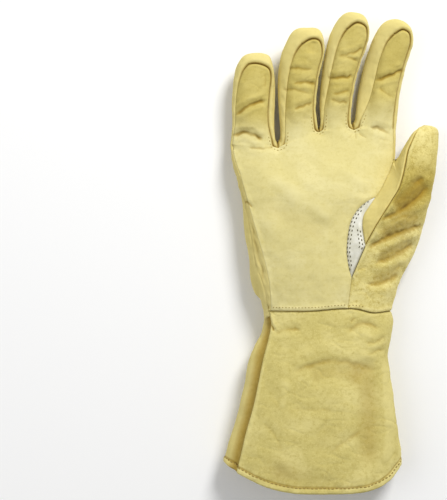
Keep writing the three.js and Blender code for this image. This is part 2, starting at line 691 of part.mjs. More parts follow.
const cuffBack = cuffRows.map((row) => (
  sectionRun(row, row.seamAngle, 2 * Math.PI + row.backAngle, backColumns)));
gather(backGrid, (i) => (HAND_ROWS - i) / 4);
gather(cuffBack, (i) => i / 4);
addGrid('back_panel', joined(backGrid, cuffBack), new THREE.Vector3(0, 0, 500));
lines.forEach((line, i) => {
  const grid = fingerPanel(line.back, backBases[i], -BACK_SEAM_HEIGHT);
  addGrid('back_panel', grid, new THREE.Vector3(0, 100, 500));
});

// Pulls every other column of the wrist in, as elastic does, and lifts the wrist off the surface.
function gather(grid, distance) {
  grid.forEach((line, i) => {
    const near = smooth(1 - distance(i));
    for (let j = 1; j < line.length - 1; j += 1) {
      const inside = Math.min(1, j / 2, (line.length - 1 - j) / 2);
      const fold = j % 2 === 0 ? GATHER_DEPTH : 0;
      const onFloor = smooth(1 - line[j].z / SIDE_HEIGHT);
      line[j].z += near * inside * (GATHER_LIFT * onFloor + fold);
    }
  });
}

// Strips round the fingers.
const littleMiddle = handRows.map((row, i) => {
  if (i === 0) {
    return lines[0].side[0];
  }
  return sectionPoint(row, (row.frontAngle + row.backAngle) / 2);
});
const littleBack = backGrid.map((line) => line[0].clone());
const thumbFoot = sectionPoint(wrist, sideCornerAngle);
const sideSeam = joined(
  palmRight.slice(0, 3),
  spaced([WEB, ...THUMB_SIDE_SEAM, thumbFoot], HAND_ROWS - 2),
);
const indexBack = backGrid.map((line) => line[backColumns].clone());
lines.forEach((line, i) => {
  let front = line.front;
  let side = line.side;
  let back = line.back;
  const core = line.side[FINGER_ROWS].clone().lerp(line.side[FINGER_ROWS + FINGER_COLUMNS], 0.5);
  core.y -= 40;
  if (i === 0) {
    front = joined([...palmLeft].reverse(), front);
    side = joined([...littleMiddle].reverse(), side);
    back = joined([...littleBack].reverse(), back);
  }
  if (i === 3) {
    const middles = sideSeam.map((point, k) => {
      const middle = point.clone().add(indexBack[k]).multiplyScalar(0.5);
      const fade = smooth(1 - k / 3);
      middle.x += mix(0.8, 2.8, fade);
      middle.z -= mix(1.2, 0, fade);
      return k === 0 ? line.side[lastPoint] : middle;
    });
    middles[HAND_ROWS] = sectionPoint(wrist, (wrist.thumbAngle + sideCornerAngle) / 2);
    front = joined(front, sideSeam);
    side = joined(side, middles);
    back = joined(back, indexBack);
  }
  const grid = front.map((point, k) => halfOval(point, side[k], back[k], BAND_COLUMNS));
  if (i === 0) {
    grid[0] = sectionRun(wrist, wrist.frontAngle, wrist.backAngle, BAND_COLUMNS);
  }
  if (i === 3) {
    grid[grid.length - 1] = sectionRun(wrist, sideCornerAngle, wrist.thumbAngle, BAND_COLUMNS);
  }
  addGrid(`${names[i]}_finger_side`, grid, core);
});

// Thumb and patch.
const ridge = spaced([THUMB_TIP, ...THUMB_RIDGE, PATCH_TURN], THUMB_FREE_ROWS + 6);
const underside = spaced([THUMB_TIP, ...THUMB_UNDERSIDE, WEB], THUMB_FREE_ROWS);
const patchUpper = spaced([PATCH_TOP, ...PATCH_BY_THUMB_FRONT, PATCH_TURN], 3);
const patchLower = spaced([PATCH_TURN, ...PATCH_BY_THUMB_BACK, PATCH_FOOT], 2);
const thumbInner = joined(underside, palmRight.slice(2, 6), patchUpper);
const ridgeFull = joined(ridge, patchLower, palmRight.slice(10));
const undersideFull = joined(underside, sideSeam.slice(2));
const outside = spaced([THUMB_TIP, ...THUMB_OUTSIDE, sectionPoint(wrist, 0)], ridgeFull.length - 1);
const thumbFront = ridge.map((point, i) => {
  const core = outside[i].clone().add(point).add(thumbInner[i]).divideScalar(3);
  const middle = point.clone().add(thumbInner[i]).multiplyScalar(0.5);
  const chord = thumbInner[i].clone().sub(point).normalize();
  const away = middle.clone().sub(core);
  away.addScaledVector(chord, -away.dot(chord)).normalize();
  middle.addScaledVector(away, THUMB_FRONT_BULGE[i]);
  return halfOval(point, middle, thumbInner[i], 4);
});
addGrid('thumb_front', thumbFront, new THREE.Vector3(70, 50, 18));
const thumbBack = ridgeFull.map((point, i) => halfOval(point, outside[i], undersideFull[i], THUMB_COLUMNS));
thumbBack[thumbBack.length - 1] = sectionRun(wrist, palmCornerAngle, sideCornerAngle, THUMB_COLUMNS);
addGrid('thumb_back', thumbBack, new THREE.Vector3(30, 30, 15));
const patchLeft = palmRight.slice(5, 11);
const patchRight = joined(patchUpper, patchLower);
const patchGrid = patchLeft.map((point, i) => [point, patchRight[i]]);
addGrid('thumb_patch', patchGrid, new THREE.Vector3(15, 5, -500));

// Front of the cuff, from the seam on the left over the top and round the right side.
const cuffTop = joined(
  sectionRun(wrist, wrist.backAngle, wrist.frontAngle, BAND_COLUMNS),
  palmBottom,
  thumbBack[thumbBack.length - 1],
  sectionRun(wrist, sideCornerAngle, wrist.thumbAngle, BAND_COLUMNS),
);
const cuffFront = cuffRows.map((row, i) => {
  if (i === 0) {
    return cuffTop;
  }
  const run = sectionRun(row, row.seamAngle, row.backAngle, cuffTop.length - 1);
  run[0].copy(cuffBack[i][0]);
  run[run.length - 1].copy(cuffBack[i][backColumns]);
  return run;
});
addGrid('cuff_front', cuffFront, new THREE.Vector3(-10, -110, -60));

// Folds and the curl of the fingers move every piece alike, so seams stay together.
for (const corner of new Set([...pieces.values()].flat(2))) {
  corner.z += fingerLift(corner) - foldDepth(corner);
}

const COLOURS = {
  thumb_patch: 0xd4d1cc,
  thumb_back: 0xd8c67c,
};
const seams = sharedNormals();
const part = new THREE.Group();
part.name = 'cut_resistant_gauntlet';
for (const [name, triangles] of pieces) {
  const material = new THREE.MeshStandardMaterial({ color: COLOURS[name] ?? 0xe8dc9e, roughness: 0.9 });
  const mesh = new THREE.Mesh(thicken(triangles, seams), material);
  mesh.name = name;
  part.add(mesh);
}

export default part;
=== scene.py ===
import math

import bpy
import numpy as np
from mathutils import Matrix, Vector


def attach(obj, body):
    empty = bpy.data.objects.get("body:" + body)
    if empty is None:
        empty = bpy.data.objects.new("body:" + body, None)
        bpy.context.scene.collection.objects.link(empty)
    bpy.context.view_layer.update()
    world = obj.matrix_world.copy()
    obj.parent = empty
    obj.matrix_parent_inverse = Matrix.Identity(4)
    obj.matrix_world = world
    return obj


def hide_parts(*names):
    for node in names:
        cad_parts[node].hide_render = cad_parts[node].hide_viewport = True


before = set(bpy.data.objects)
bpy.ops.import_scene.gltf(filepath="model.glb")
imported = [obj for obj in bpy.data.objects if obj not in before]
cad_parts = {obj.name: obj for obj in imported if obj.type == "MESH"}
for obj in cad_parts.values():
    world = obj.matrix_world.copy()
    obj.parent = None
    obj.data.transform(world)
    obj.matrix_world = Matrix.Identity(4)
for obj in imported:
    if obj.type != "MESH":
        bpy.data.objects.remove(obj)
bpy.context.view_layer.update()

# A cut-resistant work gauntlet lying palm up. Tables are in millimetres, in the part's own frame:
# +X towards the thumb, +Y towards the fingertips, +Z up from the surface that it lies on.
MM = 0.001

# How finely the surface is divided. The hand has twelve runs of DETAIL rows: two down to the thumb's web,
# three to the patch, five along it and two to the wrist.
DETAIL = 14
FINGER_COLUMNS = 30
FINGER_ROWS = 90
BAND_COLUMNS = 18
HAND_ROWS = 12 * DETAIL
CUFF_ROWS = 150
CUFF_SPACING_ROWS = 50
THUMB_COLUMNS = 56
THUMB_FRONT_COLUMNS = 32
THUMB_FREE_ROWS = 6 * DETAIL
PATCH_COLUMNS = 16
POINT_SAMPLES = 40
LINE_SAMPLES = 500
WRAP_SAMPLES = 240
SIDE_SAMPLES = 600
TIP_SAMPLES = 200
NEAREST_BLOCK = 4000

# How often heights are evened out: over all of the palm and the back, then at the finger bases of each
PALM_PASSES = 600
BACK_PASSES = 400
PALM_BASE_PASSES = 200
BACK_BASE_PASSES = 250

# Sizes of the glove
SECTION_POWER = 2.6
SIDE_HEIGHT = 13.5
FLOOR_SINK = 1.5
FRONT_SEAM_HEIGHT = 16
TIP_SEAM_DROP = 0.5
FINGER_SIDE_HEIGHT = 10
BACK_SEAM_HEIGHT = 4
BACK_SEAM_INSET = 3.6
BACK_SEAM_LOW_ANGLE = math.pi + 0.42
FINGER_RISE = 5
FINGER_CURL = 13
FINGER_REACH = 80
CURL_SHORTENING = 2
CROTCH_SPREAD = 0.72
CROTCH_FADE = 5 / 12
PALM_BASE_REACH = 11
BACK_BASE_REACH = 14
BACK_BASE_BELOW = 12
WRIST_Y = -42.5
THUMB_SEAM_AT_WRIST = 12
SIDE_SEAM_AT_WRIST = 44.4
HEM_FRONT_Y = -177.5
HEM_BACK_Y = -169
HEM_SIDE_Y = -157
HEM_BOW_LEFT = 2.3
HEM_BOW_RIGHT = 5.5
ORIGIN_SHIFT = np.array([-0.229, -0.429, 0.0])

# Cloth, seams and hem
WALL = 1.6
LEAST_WALL = 0.4
LEAST_HEIGHT_INSIDE = 0.3
SEAM_GAP = 0.05
GROOVE_DEPTH = 0.75
GROOVE_REACH = 1.15
TIP_GROOVE_REACH = 0.9
TIP_REACH = 16
CROTCH_REACH = 9
SEAM_ROLL_INSET = 2.1
HEM_ROUNDING = 1.3
HEM_STITCH_INSET = 4.6
WRIST_STITCH_INSET = 2.4
CROTCH_STITCH_INSET = 2
CROTCH_STITCH_ROWS = FINGER_ROWS // 5

# Folds: steps along each line, and the share of it that fades out at each end. Swells: number of sines.
# Gathers of the underside: where they lie and how far they reach.
LINE_STEPS = 12
LINE_TAPER = 0.18
SWELL_WAVES = 20
GATHERS_Y = -47
GATHERS_REACH = 13

# Painted shade: most of it, how much a dent makes per millimetre, and an area of painted shade on the lower
# left of the cuff as x, y, reach in x, reach in y and strength
MOST_PAINTED_SHADE = 1.5
DENT_SHADE_PER_MM = 0.2
CUFF_SHADED_AREA = (-38, -158, 22, 12, 0.2)

# Where each finger starts and ends: outermost line, front seam and back seam.
FINGER_ENDS = [
    ((-73.5, 79, FINGER_SIDE_HEIGHT), (-72.5, 79, 15.5), (-69.6, 79, 6)),
    ((-38.8, 80.5, FINGER_SIDE_HEIGHT), (-38.6, 76.4, 14.5), (-38.8, 82, 4)),
    ((-8.1, 91.5, FINGER_SIDE_HEIGHT), (-8.2, 88.6, 14.5), (-8, 93, 4)),
    ((17, 94, FINGER_SIDE_HEIGHT), (17.6, 90.2, 14.5), (17, 95.5, 4)),
    ((49, 91, FINGER_SIDE_HEIGHT), (46.8, 91, 15.5), (45.5, 91, 4)),
]

# Rows up one side of each finger, over its tip and down the other: outermost x, y, front seam x, y.
FINGERS = {
    "little": [
        (-72.5, 94.5, -70.5, 94.5),
        (-73, 109.5, -70, 108),
        (-72.2, 122, -69, 119.5),
        (-71.2, 131.5, -67.2, 127.5),
        (-69, 139, -64.8, 134),
        (-64, 145.8, -60.5, 138.8),
        (-54.5, 147.6, -53.5, 139.4),
        (-45.5, 145.4, -45.8, 136),
        (-42.2, 138, -43.8, 130),
        (-41, 127, -44.6, 121),
        (-40.9, 112, -45.8, 107),
        (-41.3, 98, -45.6, 93.5),
        (-41, 86.5, -43, 82),
    ],
    "ring": [
        (-36.8, 86.5, -33.8, 82),
        (-37.8, 102, -33.4, 97),
        (-38.6, 118, -32.6, 114),
        (-38, 135, -31, 130),
        (-34.6, 150, -27, 145.5),
        (-27.2, 163.6, -21.4, 153.6),
        (-17.5, 166.6, -14, 157.6),
        (-8.4, 165, -8.4, 156.2),
        (-4.8, 153, -6, 147),
        (-7.4, 138, -9, 134),
        (-9.6, 122, -11.4, 119),
        (-10.8, 107, -12.4, 105),
        (-9.8, 95.5, -11.4, 93.5),
    ],
    "middle": [
        (-6.6, 95.5, -5.4, 93.5),
        (-7.6, 109, -4.2, 107),
        (-6.4, 126.5, -1.4, 122),
        (-3.6, 146.5, 2, 140.5),
        (0.6, 163, 6, 155),
        (7.8, 174.6, 11.4, 164.4),
        (16.2, 177.8, 19, 169.4),
        (25, 174.4, 25.4, 166.4),
        (28, 162, 26.8, 158),
        (23.4, 145, 21.8, 142),
        (18.6, 127, 16.8, 124.5),
        (16, 111, 14.4, 109),
        (15, 98.5, 13.6, 95.5),
    ],
    "index": [
        (18.8, 98.5, 22, 95.5),
        (20.8, 114, 29, 112),
        (24, 130, 33, 127.8),
        (28.2, 147, 36.2, 142.5),
        (34, 162, 41.5, 155.5),
        (40.4, 170.2, 46.6, 161.2),
        (49.2, 172.7, 52.6, 164.4),
        (57.6, 168, 57.6, 161.6),
        (60.6, 157.5, 58.6, 154.5),
        (57, 141, 54.4, 139.5),
        (53, 124, 50.2, 122.5),
        (51.2, 111, 48.4, 110),
        (50.2, 99.5, 47.2, 99.5),
    ],
}

# The hand below the fingers: y, outermost left, back seam, front seam, outermost right, thumb-side seam and
# height of the crown.
HAND = np.array([
    (82, -73.5, -70.5, -72.5, 49, 45.5, 23),
    (70, -73.5, -72.7, -71.4, 49, 45.2, 27),
    (54, -69.2, -68, -66.4, 50, 44.6, 31),
    (34, -65, -63.4, -60.8, 51, 43.2, 33.5),
    (12, -63, -59.5, -54.7, 51, 41.7, 34),
    (-10, -59.7, -55.6, -48.4, 49, 40.6, 33),
    (-26, -57.8, -50, -45.2, 47, 39.9, 31.5),
    (-42.5, -50, -46.2, -44, 45.4, 39.5, 30),
])

# The cuff from wrist to hem: part of the way, outermost left, side seam, outermost right, back seam, crown.
CUFF = np.array([
    (0, -50, -46.2, 45.4, 39.5, 30),
    (0.08, -49.2, -44, 46.9, 40, 30.5),
    (0.18, -52.6, -46, 45.2, 38.6, 31.5),
    (0.3, -59, -50, 42.7, 38, 33),
    (0.43, -62.3, -53, 44, 39.8, 34.5),
    (0.59, -66.2, -57, 46.8, 43.2, 35.5),
    (0.75, -70.7, -62.2, 49.4, 46.2, 36),
    (0.9, -76, -66.8, 52, 48.6, 36),
    (1, -79, -69.6, 52.6, 49, 35.6),
])

# Seams round the thumb, each from its upper end to its lower end.
WEB = (47.4, 66, 15.5)
PATCH_TOP = (32, 39.5, 26)
PATCH_TURN = (24, 3, 35)
PATCH_FOOT = (14.5, -20, 31)
THUMB_TIP = (69.5, 93.8, 17)
PALM_TO_WEB = [(47.4, 79, 15.2)]
PALM_BY_THUMB = [(40.8, 54, 20.5), (36.2, 45.5, 24.4)]
PALM_BY_PATCH = [
    (25, 35.5, 27),
    (18.6, 29.5, 27.8),
    (14.3, 22, 28.3),
    (11.8, 11, 28.8),
    (11, 0, 29.4),
    (12, -10, 30.2),
]
PATCH_BY_THUMB_FRONT = [(27, 32.5, 28.2), (23.2, 26.5, 29.6), (22, 20, 30.6), (22.5, 12.5, 32.2)]
PATCH_BY_THUMB_BACK = [(19, -9, 33)]
THUMB_RIDGE = [
    (63, 87.5, 26),
    (59.5, 81, 29),
    (56, 73, 31.5),
    (54, 64, 34),
    (52, 55.5, 36),
    (48.5, 45, 38),
    (42.5, 35.5, 39.4),
    (36, 25, 39.6),
    (30, 14.5, 38),
]
THUMB_UNDERSIDE = [(69.5, 89, 9), (65, 81, 5.5), (58.5, 73.5, 5.5), (51.5, 68, 9)]
THUMB_OUTSIDE = [
    (79.2, 90, 16),
    (80.2, 81, 16),
    (79, 68.5, 17),
    (76.8, 54, 18),
    (74.2, 42, 18.5),
    (70.8, 27, 19),
    (67.4, 15, 19),
    (64.2, 6, 18.5),
    (60.6, -3.5, 18),
    (56, -13, 17),
    (50.4, -25, 15),
]
THUMB_SIDE_SEAM = [(49, 50, 12), (50, 35, 9), (49.5, 12, 7.5), (47.6, -13, 7.5), (46, -30, 8.5)]
THUMB_FRONT_BULGE = [0, 4, 5, 5.2, 5, 4, 2.2, 1.2, 0.8, 0.8, 0.8, 0.6, 0]
THUMB_WRAP_Y = 12
THUMB_WRAP_SPAN = 40
THUMB_FOOT_ROWS = 24

# How far the wrist seam wanders from a straight line: x and dy. The cloth above and below it follows.
WRIST_WANDER = np.array([(-44, -1.3), (-15.2, -1.3), (7, 0.5), (19, 0.1), (30.7, -2.6), (42.5, -1.6)])
WANDER_REACH = 15

# Sharp creases of the upper side: three points (x, y) of the line, depth and reach to each side.
CREASES = [
    (-71.5, 99.8, -60.5, 107.2, -46.5, 111.5, 2.2, 2.8),
    (-74.5, 85.3, -62, 87.3, -48.5, 81.6, 2, 3),
    (-62.2, 76.6, -49.5, 76, -41.1, 77.6, 1, 2.4),
    (-49.5, 131, -48, 125.5, -48.6, 120, 0.6, 2),
    (-32, 134.9, -23.1, 134.2, -12, 133.4, 1.1, 2.3),
    (-28.5, 123.2, -19.5, 124.4, -9.5, 123.2, 1.6, 2.6),
    (-28, 104.6, -19.9, 107.1, -12, 109.6, 1.3, 2.5),
    (-37.5, 119.9, -28, 119, -13.6, 115.7, 0.9, 2.6),
    (-21, 98.5, -17.5, 98, -13.5, 97, 0.5, 1.8),
    (4.5, 143.4, 14.5, 145, 25, 150, 1.5, 2.4),
    (3.5, 142.4, 12.9, 142.1, 21.5, 138.6, 0.9, 2.2),
    (-3.5, 128.2, 7, 127.8, 17.5, 129, 2, 2.7),
    (0.5, 115.4, 9.2, 117.2, 15, 118, 1.1, 2.4),
    (-0.9, 113, 6.5, 109.9, 13.9, 110.4, 1.1, 2.4),
    (31.5, 125.4, 43.5, 129.2, 55.5, 134.5, 2.1, 2.9),
    (35, 121.5, 40, 117.2, 47, 113, 0.8, 2.4),
    (27.7, 92.4, 37.1, 90.3, 46, 85.6, 1.1, 3.2),
    (35.5, 83.5, 41, 82.5, 46, 80.8, 0.5, 2.4),
    (17, 89, 14.8, 85.5, 13, 82.5, 0.5, 1.3),
    (18.8, 88.6, 19, 85.5, 18.7, 82, 0.5, 1.3),
    (20.6, 88.8, 23.5, 85.5, 27, 83.6, 0.5, 1.3),
    (-66.4, 35, -61.5, 35.6, -58, 31.8, 1.2, 1.7),
    (-59.6, 24.2, -54.6, -0.4, -48.5, -25.1, 0.7, 2.4),
    (-54.6, -33.7, -49.7, -38.7, -45, -43, 1.3, 2),
    (33, 21.5, 54, 31.2, 74, 47.5, 2.5, 4),
    (24, 1.5, 46, 11.2, 70, 19.5, 2.5, 3.8),
    (29, -9.5, 45, -4.4, 64, 6, 1.7, 4),
    (17.5, -13.4, 21, -13, 26, -11.8, 0.7, 1.8),
    (24.5, -24.8, 38.3, -23.2, 52, -16.5, 1.6, 3.8),
    (56, 50, 62, 50, 69, 54, 0.8, 3),
    (40, 20, 50, 24.5, 58, 26, 0.5, 2.6),
    (10, -60.6, 22.5, -53, 36, -57.6, 1.5, 4.8),
    (13.5, -52, 16, -50.2, 18.5, -48.6, 0.8, 1.8),
    (-42.5, -60.9, -32.4, -57.2, -21.3, -57.8, 1.1, 3.4),
    (-46, -53.5, -43.2, -55.5, -41.8, -59, 1.1, 1.6),
    (-33, -90.5, -2, -80, 34, -87, 1.1, 6),
    (-31.4, -114.9, -15, -115.6, 3.3, -115.2, 0.6, 4),
    (-5, -150, 9, -138.8, 23, -130.2, 0.8, 4.6),
    (-50.5, -125, -42.9, -133, -36, -148, 0.55, 3.8),
    (24, -67, 33, -66.5, 40, -62, 0.7, 2.6),
    (26, -76, 34, -73, 41, -72.5, 0.7, 2.8),
]

# Soft dents of the upper side, and soft swells where the depth is negative.
DENTS = [
    (-46, 56, -21, 37, 4, 21, -0.8, 9),
    (-54, 40, -28, 22, 0, 8, 1, 14),
    (-13, 155, -14.4, 150, -15, 145, 1, 5),
    (24, -76, 27, -110, 27, -166, 2, 17),
    (44, 30, 58, 40, 71, 52, 2.6, 12),
    (33, 10, 50, 18, 67, 28, 1.8, 10),
    (32, -5, 46, 0, 62, 9, 1.6, 9),
    (27, -21, 42, -17, 55, -9, 1.3, 8),
    (-48, -160, -20, -168, 10, -168, 0.8, 12),
    (-20, -92, 2, -88, 24, -94, 1.6, 12),
    (38, -72, 41, -124, 39.5, -160, -1.3, 9),
    (-33, -92, -35, -104, -36.5, -116, -0.6, 7),
    (-54, -80, -58, -110, -64, -150, -0.7, 7),
    (60, 64, 65, 57, 69, 50, 0.7, 10),
    (-10, -128, -4, -134, -12, -150, 0.7, 10),
    (8, 60, 22, 50, 34, 53, -0.6, 8),
    (-20, -20, -10, -26, 0, -24, 0.4, 9),
]

# Folds of the underside, fanning out from the gathered wrist.
BACK_CREASES = [
    (-44.8, -34, -43, -43, -41, -52, 1.6, 2.6),
    (-36, -48.3, -34.4, -53, -33.7, -58, 0.9, 1.8),
    (-35, -24, -24, -41, -20, -56, 2, 3),
    (-30, -39, -29.5, -47, -29, -54, 1.4, 2.2),
    (-18, -41, -15, -52, -12, -62, 1.6, 2.4),
    (-8, -42, 2.6, -26, 7.8, -15, 1.8, 3),
    (7, -47, 14.4, -30, 27.8, -11, 2.2, 4.5),
    (14.4, -43, 17, -46, 18.9, -49, 1.2, 1.6),
    (13, -55.7, 15.2, -50.5, 19.6, -61.6, 1.4, 1.8),
    (24, -42, 30, -34, 36.6, -26, 1.6, 3),
    (30, -43, 32.5, -46.5, 34.8, -51, 1.3, 1.6),
    (1, -41, 1, -49, 1, -57, 1.4, 2.2),
    (-25.5, -52, -21, -70, -27, -100, 1.7, 4),
    (-3.3, -54, 8.5, -69, 9.5, -104, 2, 5),
    (11.5, -106, -9, -124, -35, -141, 1.2, 6),
    (27.8, -56, 32, -61, 36.6, -67, 1.4, 3),
]


def mix(a, b, t):
    return a + (b - a) * t


def smooth(t):
    t = np.clip(t, 0, 1)
    return t * t * (3 - 2 * t)


def bell(distance, reach):
    """1 at no distance, falling as exp(-(distance / reach)^2)."""
    return np.exp(-(distance / reach) ** 2)


def unit(vectors):
    return vectors / np.maximum(np.linalg.norm(vectors, axis=1, keepdims=True), 1e-9)


# Curves

def cubic(start, stop, start_slope, stop_slope, t):
    """Goes from start to stop as t goes from 0 to 1, with the given slopes at both ends."""
    return (start * (1 + 2 * t) * (1 - t) ** 2 + start_slope * t * (1 - t) ** 2
            + stop * t * t * (3 - 2 * t) + stop_slope * t * t * (t - 1))


def look_up(xs, ys, at):
    """Smooth curve through a table, in cubic pieces. The slope at a row is that between its neighbours."""
    if xs[0] > xs[-1]:
        xs, ys = xs[::-1], ys[::-1]
    at = np.clip(at, xs[0], xs[-1])
    below = np.maximum(np.arange(len(xs)) - 1, 0)
    above = np.minimum(np.arange(len(xs)) + 1, len(xs) - 1)
    slope = (ys[above] - ys[below]) / (xs[above] - xs[below])
    i = np.clip(np.searchsorted(xs, at, side="right") - 1, 0, len(xs) - 2)
    span = xs[i + 1] - xs[i]
    t = np.clip((at - xs[i]) / span, 0, 1)
    return cubic(ys[i], ys[i + 1], slope[i] * span, slope[i + 1] * span, t)


def along(points, places):
    """Points on a centripetal spline: place 2.5 is half way between the third point given and the fourth."""
    points = np.asarray(points, float)
    padded = np.vstack([2 * points[0] - points[1], points, 2 * points[-1] - points[-2]])
    step = np.maximum(np.linalg.norm(np.diff(padded, axis=0), axis=1) ** 0.5, 1e-4)[:, None]
    i = np.clip(np.floor(places).astype(int), 0, len(points) - 2)
    t = (places - i)[:, None]
    p0, p1, p2, p3 = (padded[i + k] for k in range(4))
    d0, d1, d2 = (step[i + k] for k in range(3))
    start = ((p1 - p0) / d0 - (p2 - p0) / (d0 + d1) + (p2 - p1) / d1) * d1
    stop = ((p2 - p1) / d1 - (p3 - p1) / (d1 + d2) + (p3 - p2) / d2) * d1
    return cubic(p1, p2, start, stop, t)


def reach_along(samples):
    """Distance from the start of a line to each of its points."""
    return np.concatenate([[0], np.cumsum(np.linalg.norm(np.diff(samples, axis=0), axis=1))])


def at_reach(samples, reach, goals):
    return np.stack([np.interp(goals, reach, samples[:, k]) for k in range(samples.shape[1])], axis=1)


def evenly(samples, count):
    """count + 1 points at even distances along a line of samples."""
    reach = reach_along(samples)
    return at_reach(samples, reach, np.linspace(0, reach[-1], count + 1))


def spaced(points, count):
    """count + 1 points at even distances along the spline through the given ones."""
    places = np.linspace(0, len(points) - 1, POINT_SAMPLES * len(points))
    return evenly(along(points, places), count)


def joined(*runs):
    return np.concatenate([runs[0]] + [run[1:] for run in runs[1:]])


# Cross-sections of hand and cuff

def section(row, angle):
    """Rounded oval: cosine and sine of the angle raised to 2 / power, flattened on the surface."""
    power = 2 / SECTION_POWER
    across = np.sign(np.cos(angle)) * np.abs(np.cos(angle)) ** power
    up = np.sign(np.sin(angle)) * np.abs(np.sin(angle)) ** power
    x = mix(row["left"], row["right"], (across + 1) / 2)
    z = np.where(up > 0, mix(SIDE_HEIGHT, row["crown"], up), mix(SIDE_HEIGHT, -FLOOR_SINK, -up))
    return np.stack([x, row["y_at"](across, up), np.maximum(z, 0)], axis=-1)


def section_angle(row, x, upper=True):
    across = np.clip((x - row["left"]) / (row["right"] - row["left"]) * 2 - 1, -1, 1)
    angle = np.arccos(np.sign(across) * np.abs(across) ** (SECTION_POWER / 2))
    return angle if upper else -angle


def section_run(row, start, stop, shares):
    """Points along the section between two angles, each at its share of the way."""
    samples = section(row, np.linspace(start, stop, LINE_SAMPLES))
    reach = reach_along(samples)
    return at_reach(samples, reach, shares * reach[-1])


def hand_row(part):
    """A section of the hand that slopes from side to side, part of the way from the fingers to the wrist."""
    left_y = mix(FINGER_ENDS[0][2][1], WRIST_Y, part)
    right_y = mix(FINGER_ENDS[4][2][1], WRIST_Y, part)
    levels = (left_y, left_y, left_y, right_y, right_y, (left_y + right_y) / 2)
    values = [look_up(HAND[:, 0], column, y) for column, y in zip(HAND.T[1:], levels)]
    left, back, front, right, thumb, crown = values
    row = {"left": left, "right": right, "crown": crown}
    row["y_at"] = lambda across, up: mix(left_y, right_y, (across + 1) / 2)
    row["back"] = mix(BACK_SEAM_LOW_ANGLE, section_angle(row, back), smooth(3 * part))
    row["front"] = section_angle(row, front)
    row["thumb"] = section_angle(row, thumb, upper=False)
    return row


def cuff_row(part):
    """A section whose y bows towards the hem: lowest in the middle of the front, higher at the sides."""
    def y_at(across, up):
        bow = np.abs(across) ** np.where(across < 0, HEM_BOW_LEFT, HEM_BOW_RIGHT)
        front = mix(HEM_FRONT_Y, HEM_SIDE_Y, bow)
        back = mix(HEM_BACK_Y, HEM_SIDE_Y, bow)
        return mix(WRIST_Y, mix(back, front, (up + 1) / 2), part)
    left, seam, right, back_seam, crown = (look_up(CUFF[:, 0], column, part) for column in CUFF.T[1:])
    row = {"left": left, "right": right, "crown": crown, "y_at": y_at}
    row["seam"] = section_angle(row, seam)
    row["back"] = section_angle(row, back_seam, upper=False)
    return row


# Surfaces

def coons(bottom, top, left, right):
    """Blends four edges: bottom and top mixed by v, left and right mixed by u, less the mixed corners."""
    u = np.linspace(0, 1, len(bottom))[None, :, None]
    v = np.linspace(0, 1, len(left))[:, None, None]
    across = mix(bottom[None], top[None], v)
    upwards = mix(left[:, None], right[:, None], u)
    corners = mix(mix(bottom[0], bottom[-1], u), mix(top[0], top[-1], u), v)
    grid = across + upwards - corners
    grid[0], grid[-1] = bottom, top
    grid[:, 0], grid[:, -1] = left, right
    return grid


def half_oval(start, middle, stop, count):
    """Rows from one seam over a middle point to the other: centre + cos(a) * to seam + sin(a) * outwards."""
    angle = np.linspace(0, math.pi, count + 1)[None, :, None]
    centre = ((start + stop) / 2)[:, None]
    grid = centre + (start[:, None] - centre) * np.cos(angle) + (middle[:, None] - centre) * np.sin(angle)
    grid[:, 0], grid[:, -1] = start, stop
    return grid


def outer_wrap(start, middle, stop, wide):
    """Rows round the outside of the thumb: half ovals, which turn where wide is 1 into two quarters of a
    superellipse that meet at the middle point, each with its corner between the middle and its seam."""
    angle = np.linspace(0, math.pi, WRAP_SAMPLES + 1)[None, :, None]
    oval = half_oval(start, middle, stop, WRAP_SAMPLES)
    seam = np.where(angle < math.pi / 2, start[:, None], stop[:, None])
    corner = seam * (1, 0.5, 0) + middle[:, None] * (0, 0.5, 1)
    power = 2 / SECTION_POWER
    quarters = (corner + (middle[:, None] - corner) * np.sin(angle) ** power
                + (seam - corner) * np.abs(np.cos(angle)) ** power)
    rows = mix(oval, quarters, wide[:, None, None])
    rows[:, 0], rows[:, -1] = start, stop
    return np.array([evenly(row, THUMB_COLUMNS) for row in rows])


def relax(grid, passes):
    """Evens out the heights inside a grid and leaves its edges."""
    z = grid[..., 2]
    for _ in range(passes):
        around = (z[:-2, 1:-1] + z[2:, 1:-1] + z[1:-1, :-2] + z[1:-1, 2:]) / 4
        z[1:-1, 1:-1] = np.maximum(0, mix(z[1:-1, 1:-1], around, 0.5))


def round_off(end, following, at_crotch):
    """A point beside the end of a finger line, which makes a crotch round where one lies there."""
    spread = np.array([CROTCH_SPREAD, 1 - CROTCH_SPREAD, 0.5])
    return mix(end, following, spread if at_crotch else 0.5)


def sample_finger(points, end):
    """Samples a finger line with the rows of its sides and the columns of its tip, each evenly."""
    first = round_off(points[0], points[1], end > 0)
    last = round_off(points[-1], points[-2], end < 3)
    points = np.vstack([points[0], first, points[1:-1], last, points[-1]])
    shoulder = (len(points) - 1) / 2 - 1
    side = np.linspace(0, shoulder, SIDE_SAMPLES)
    over_tip = np.linspace(shoulder, shoulder + 2, TIP_SAMPLES)
    return joined(
        evenly(along(points, side), FINGER_ROWS),
        evenly(along(points, over_tip), FINGER_COLUMNS),
        evenly(along(points, side + shoulder + 2), FINGER_ROWS),
    )


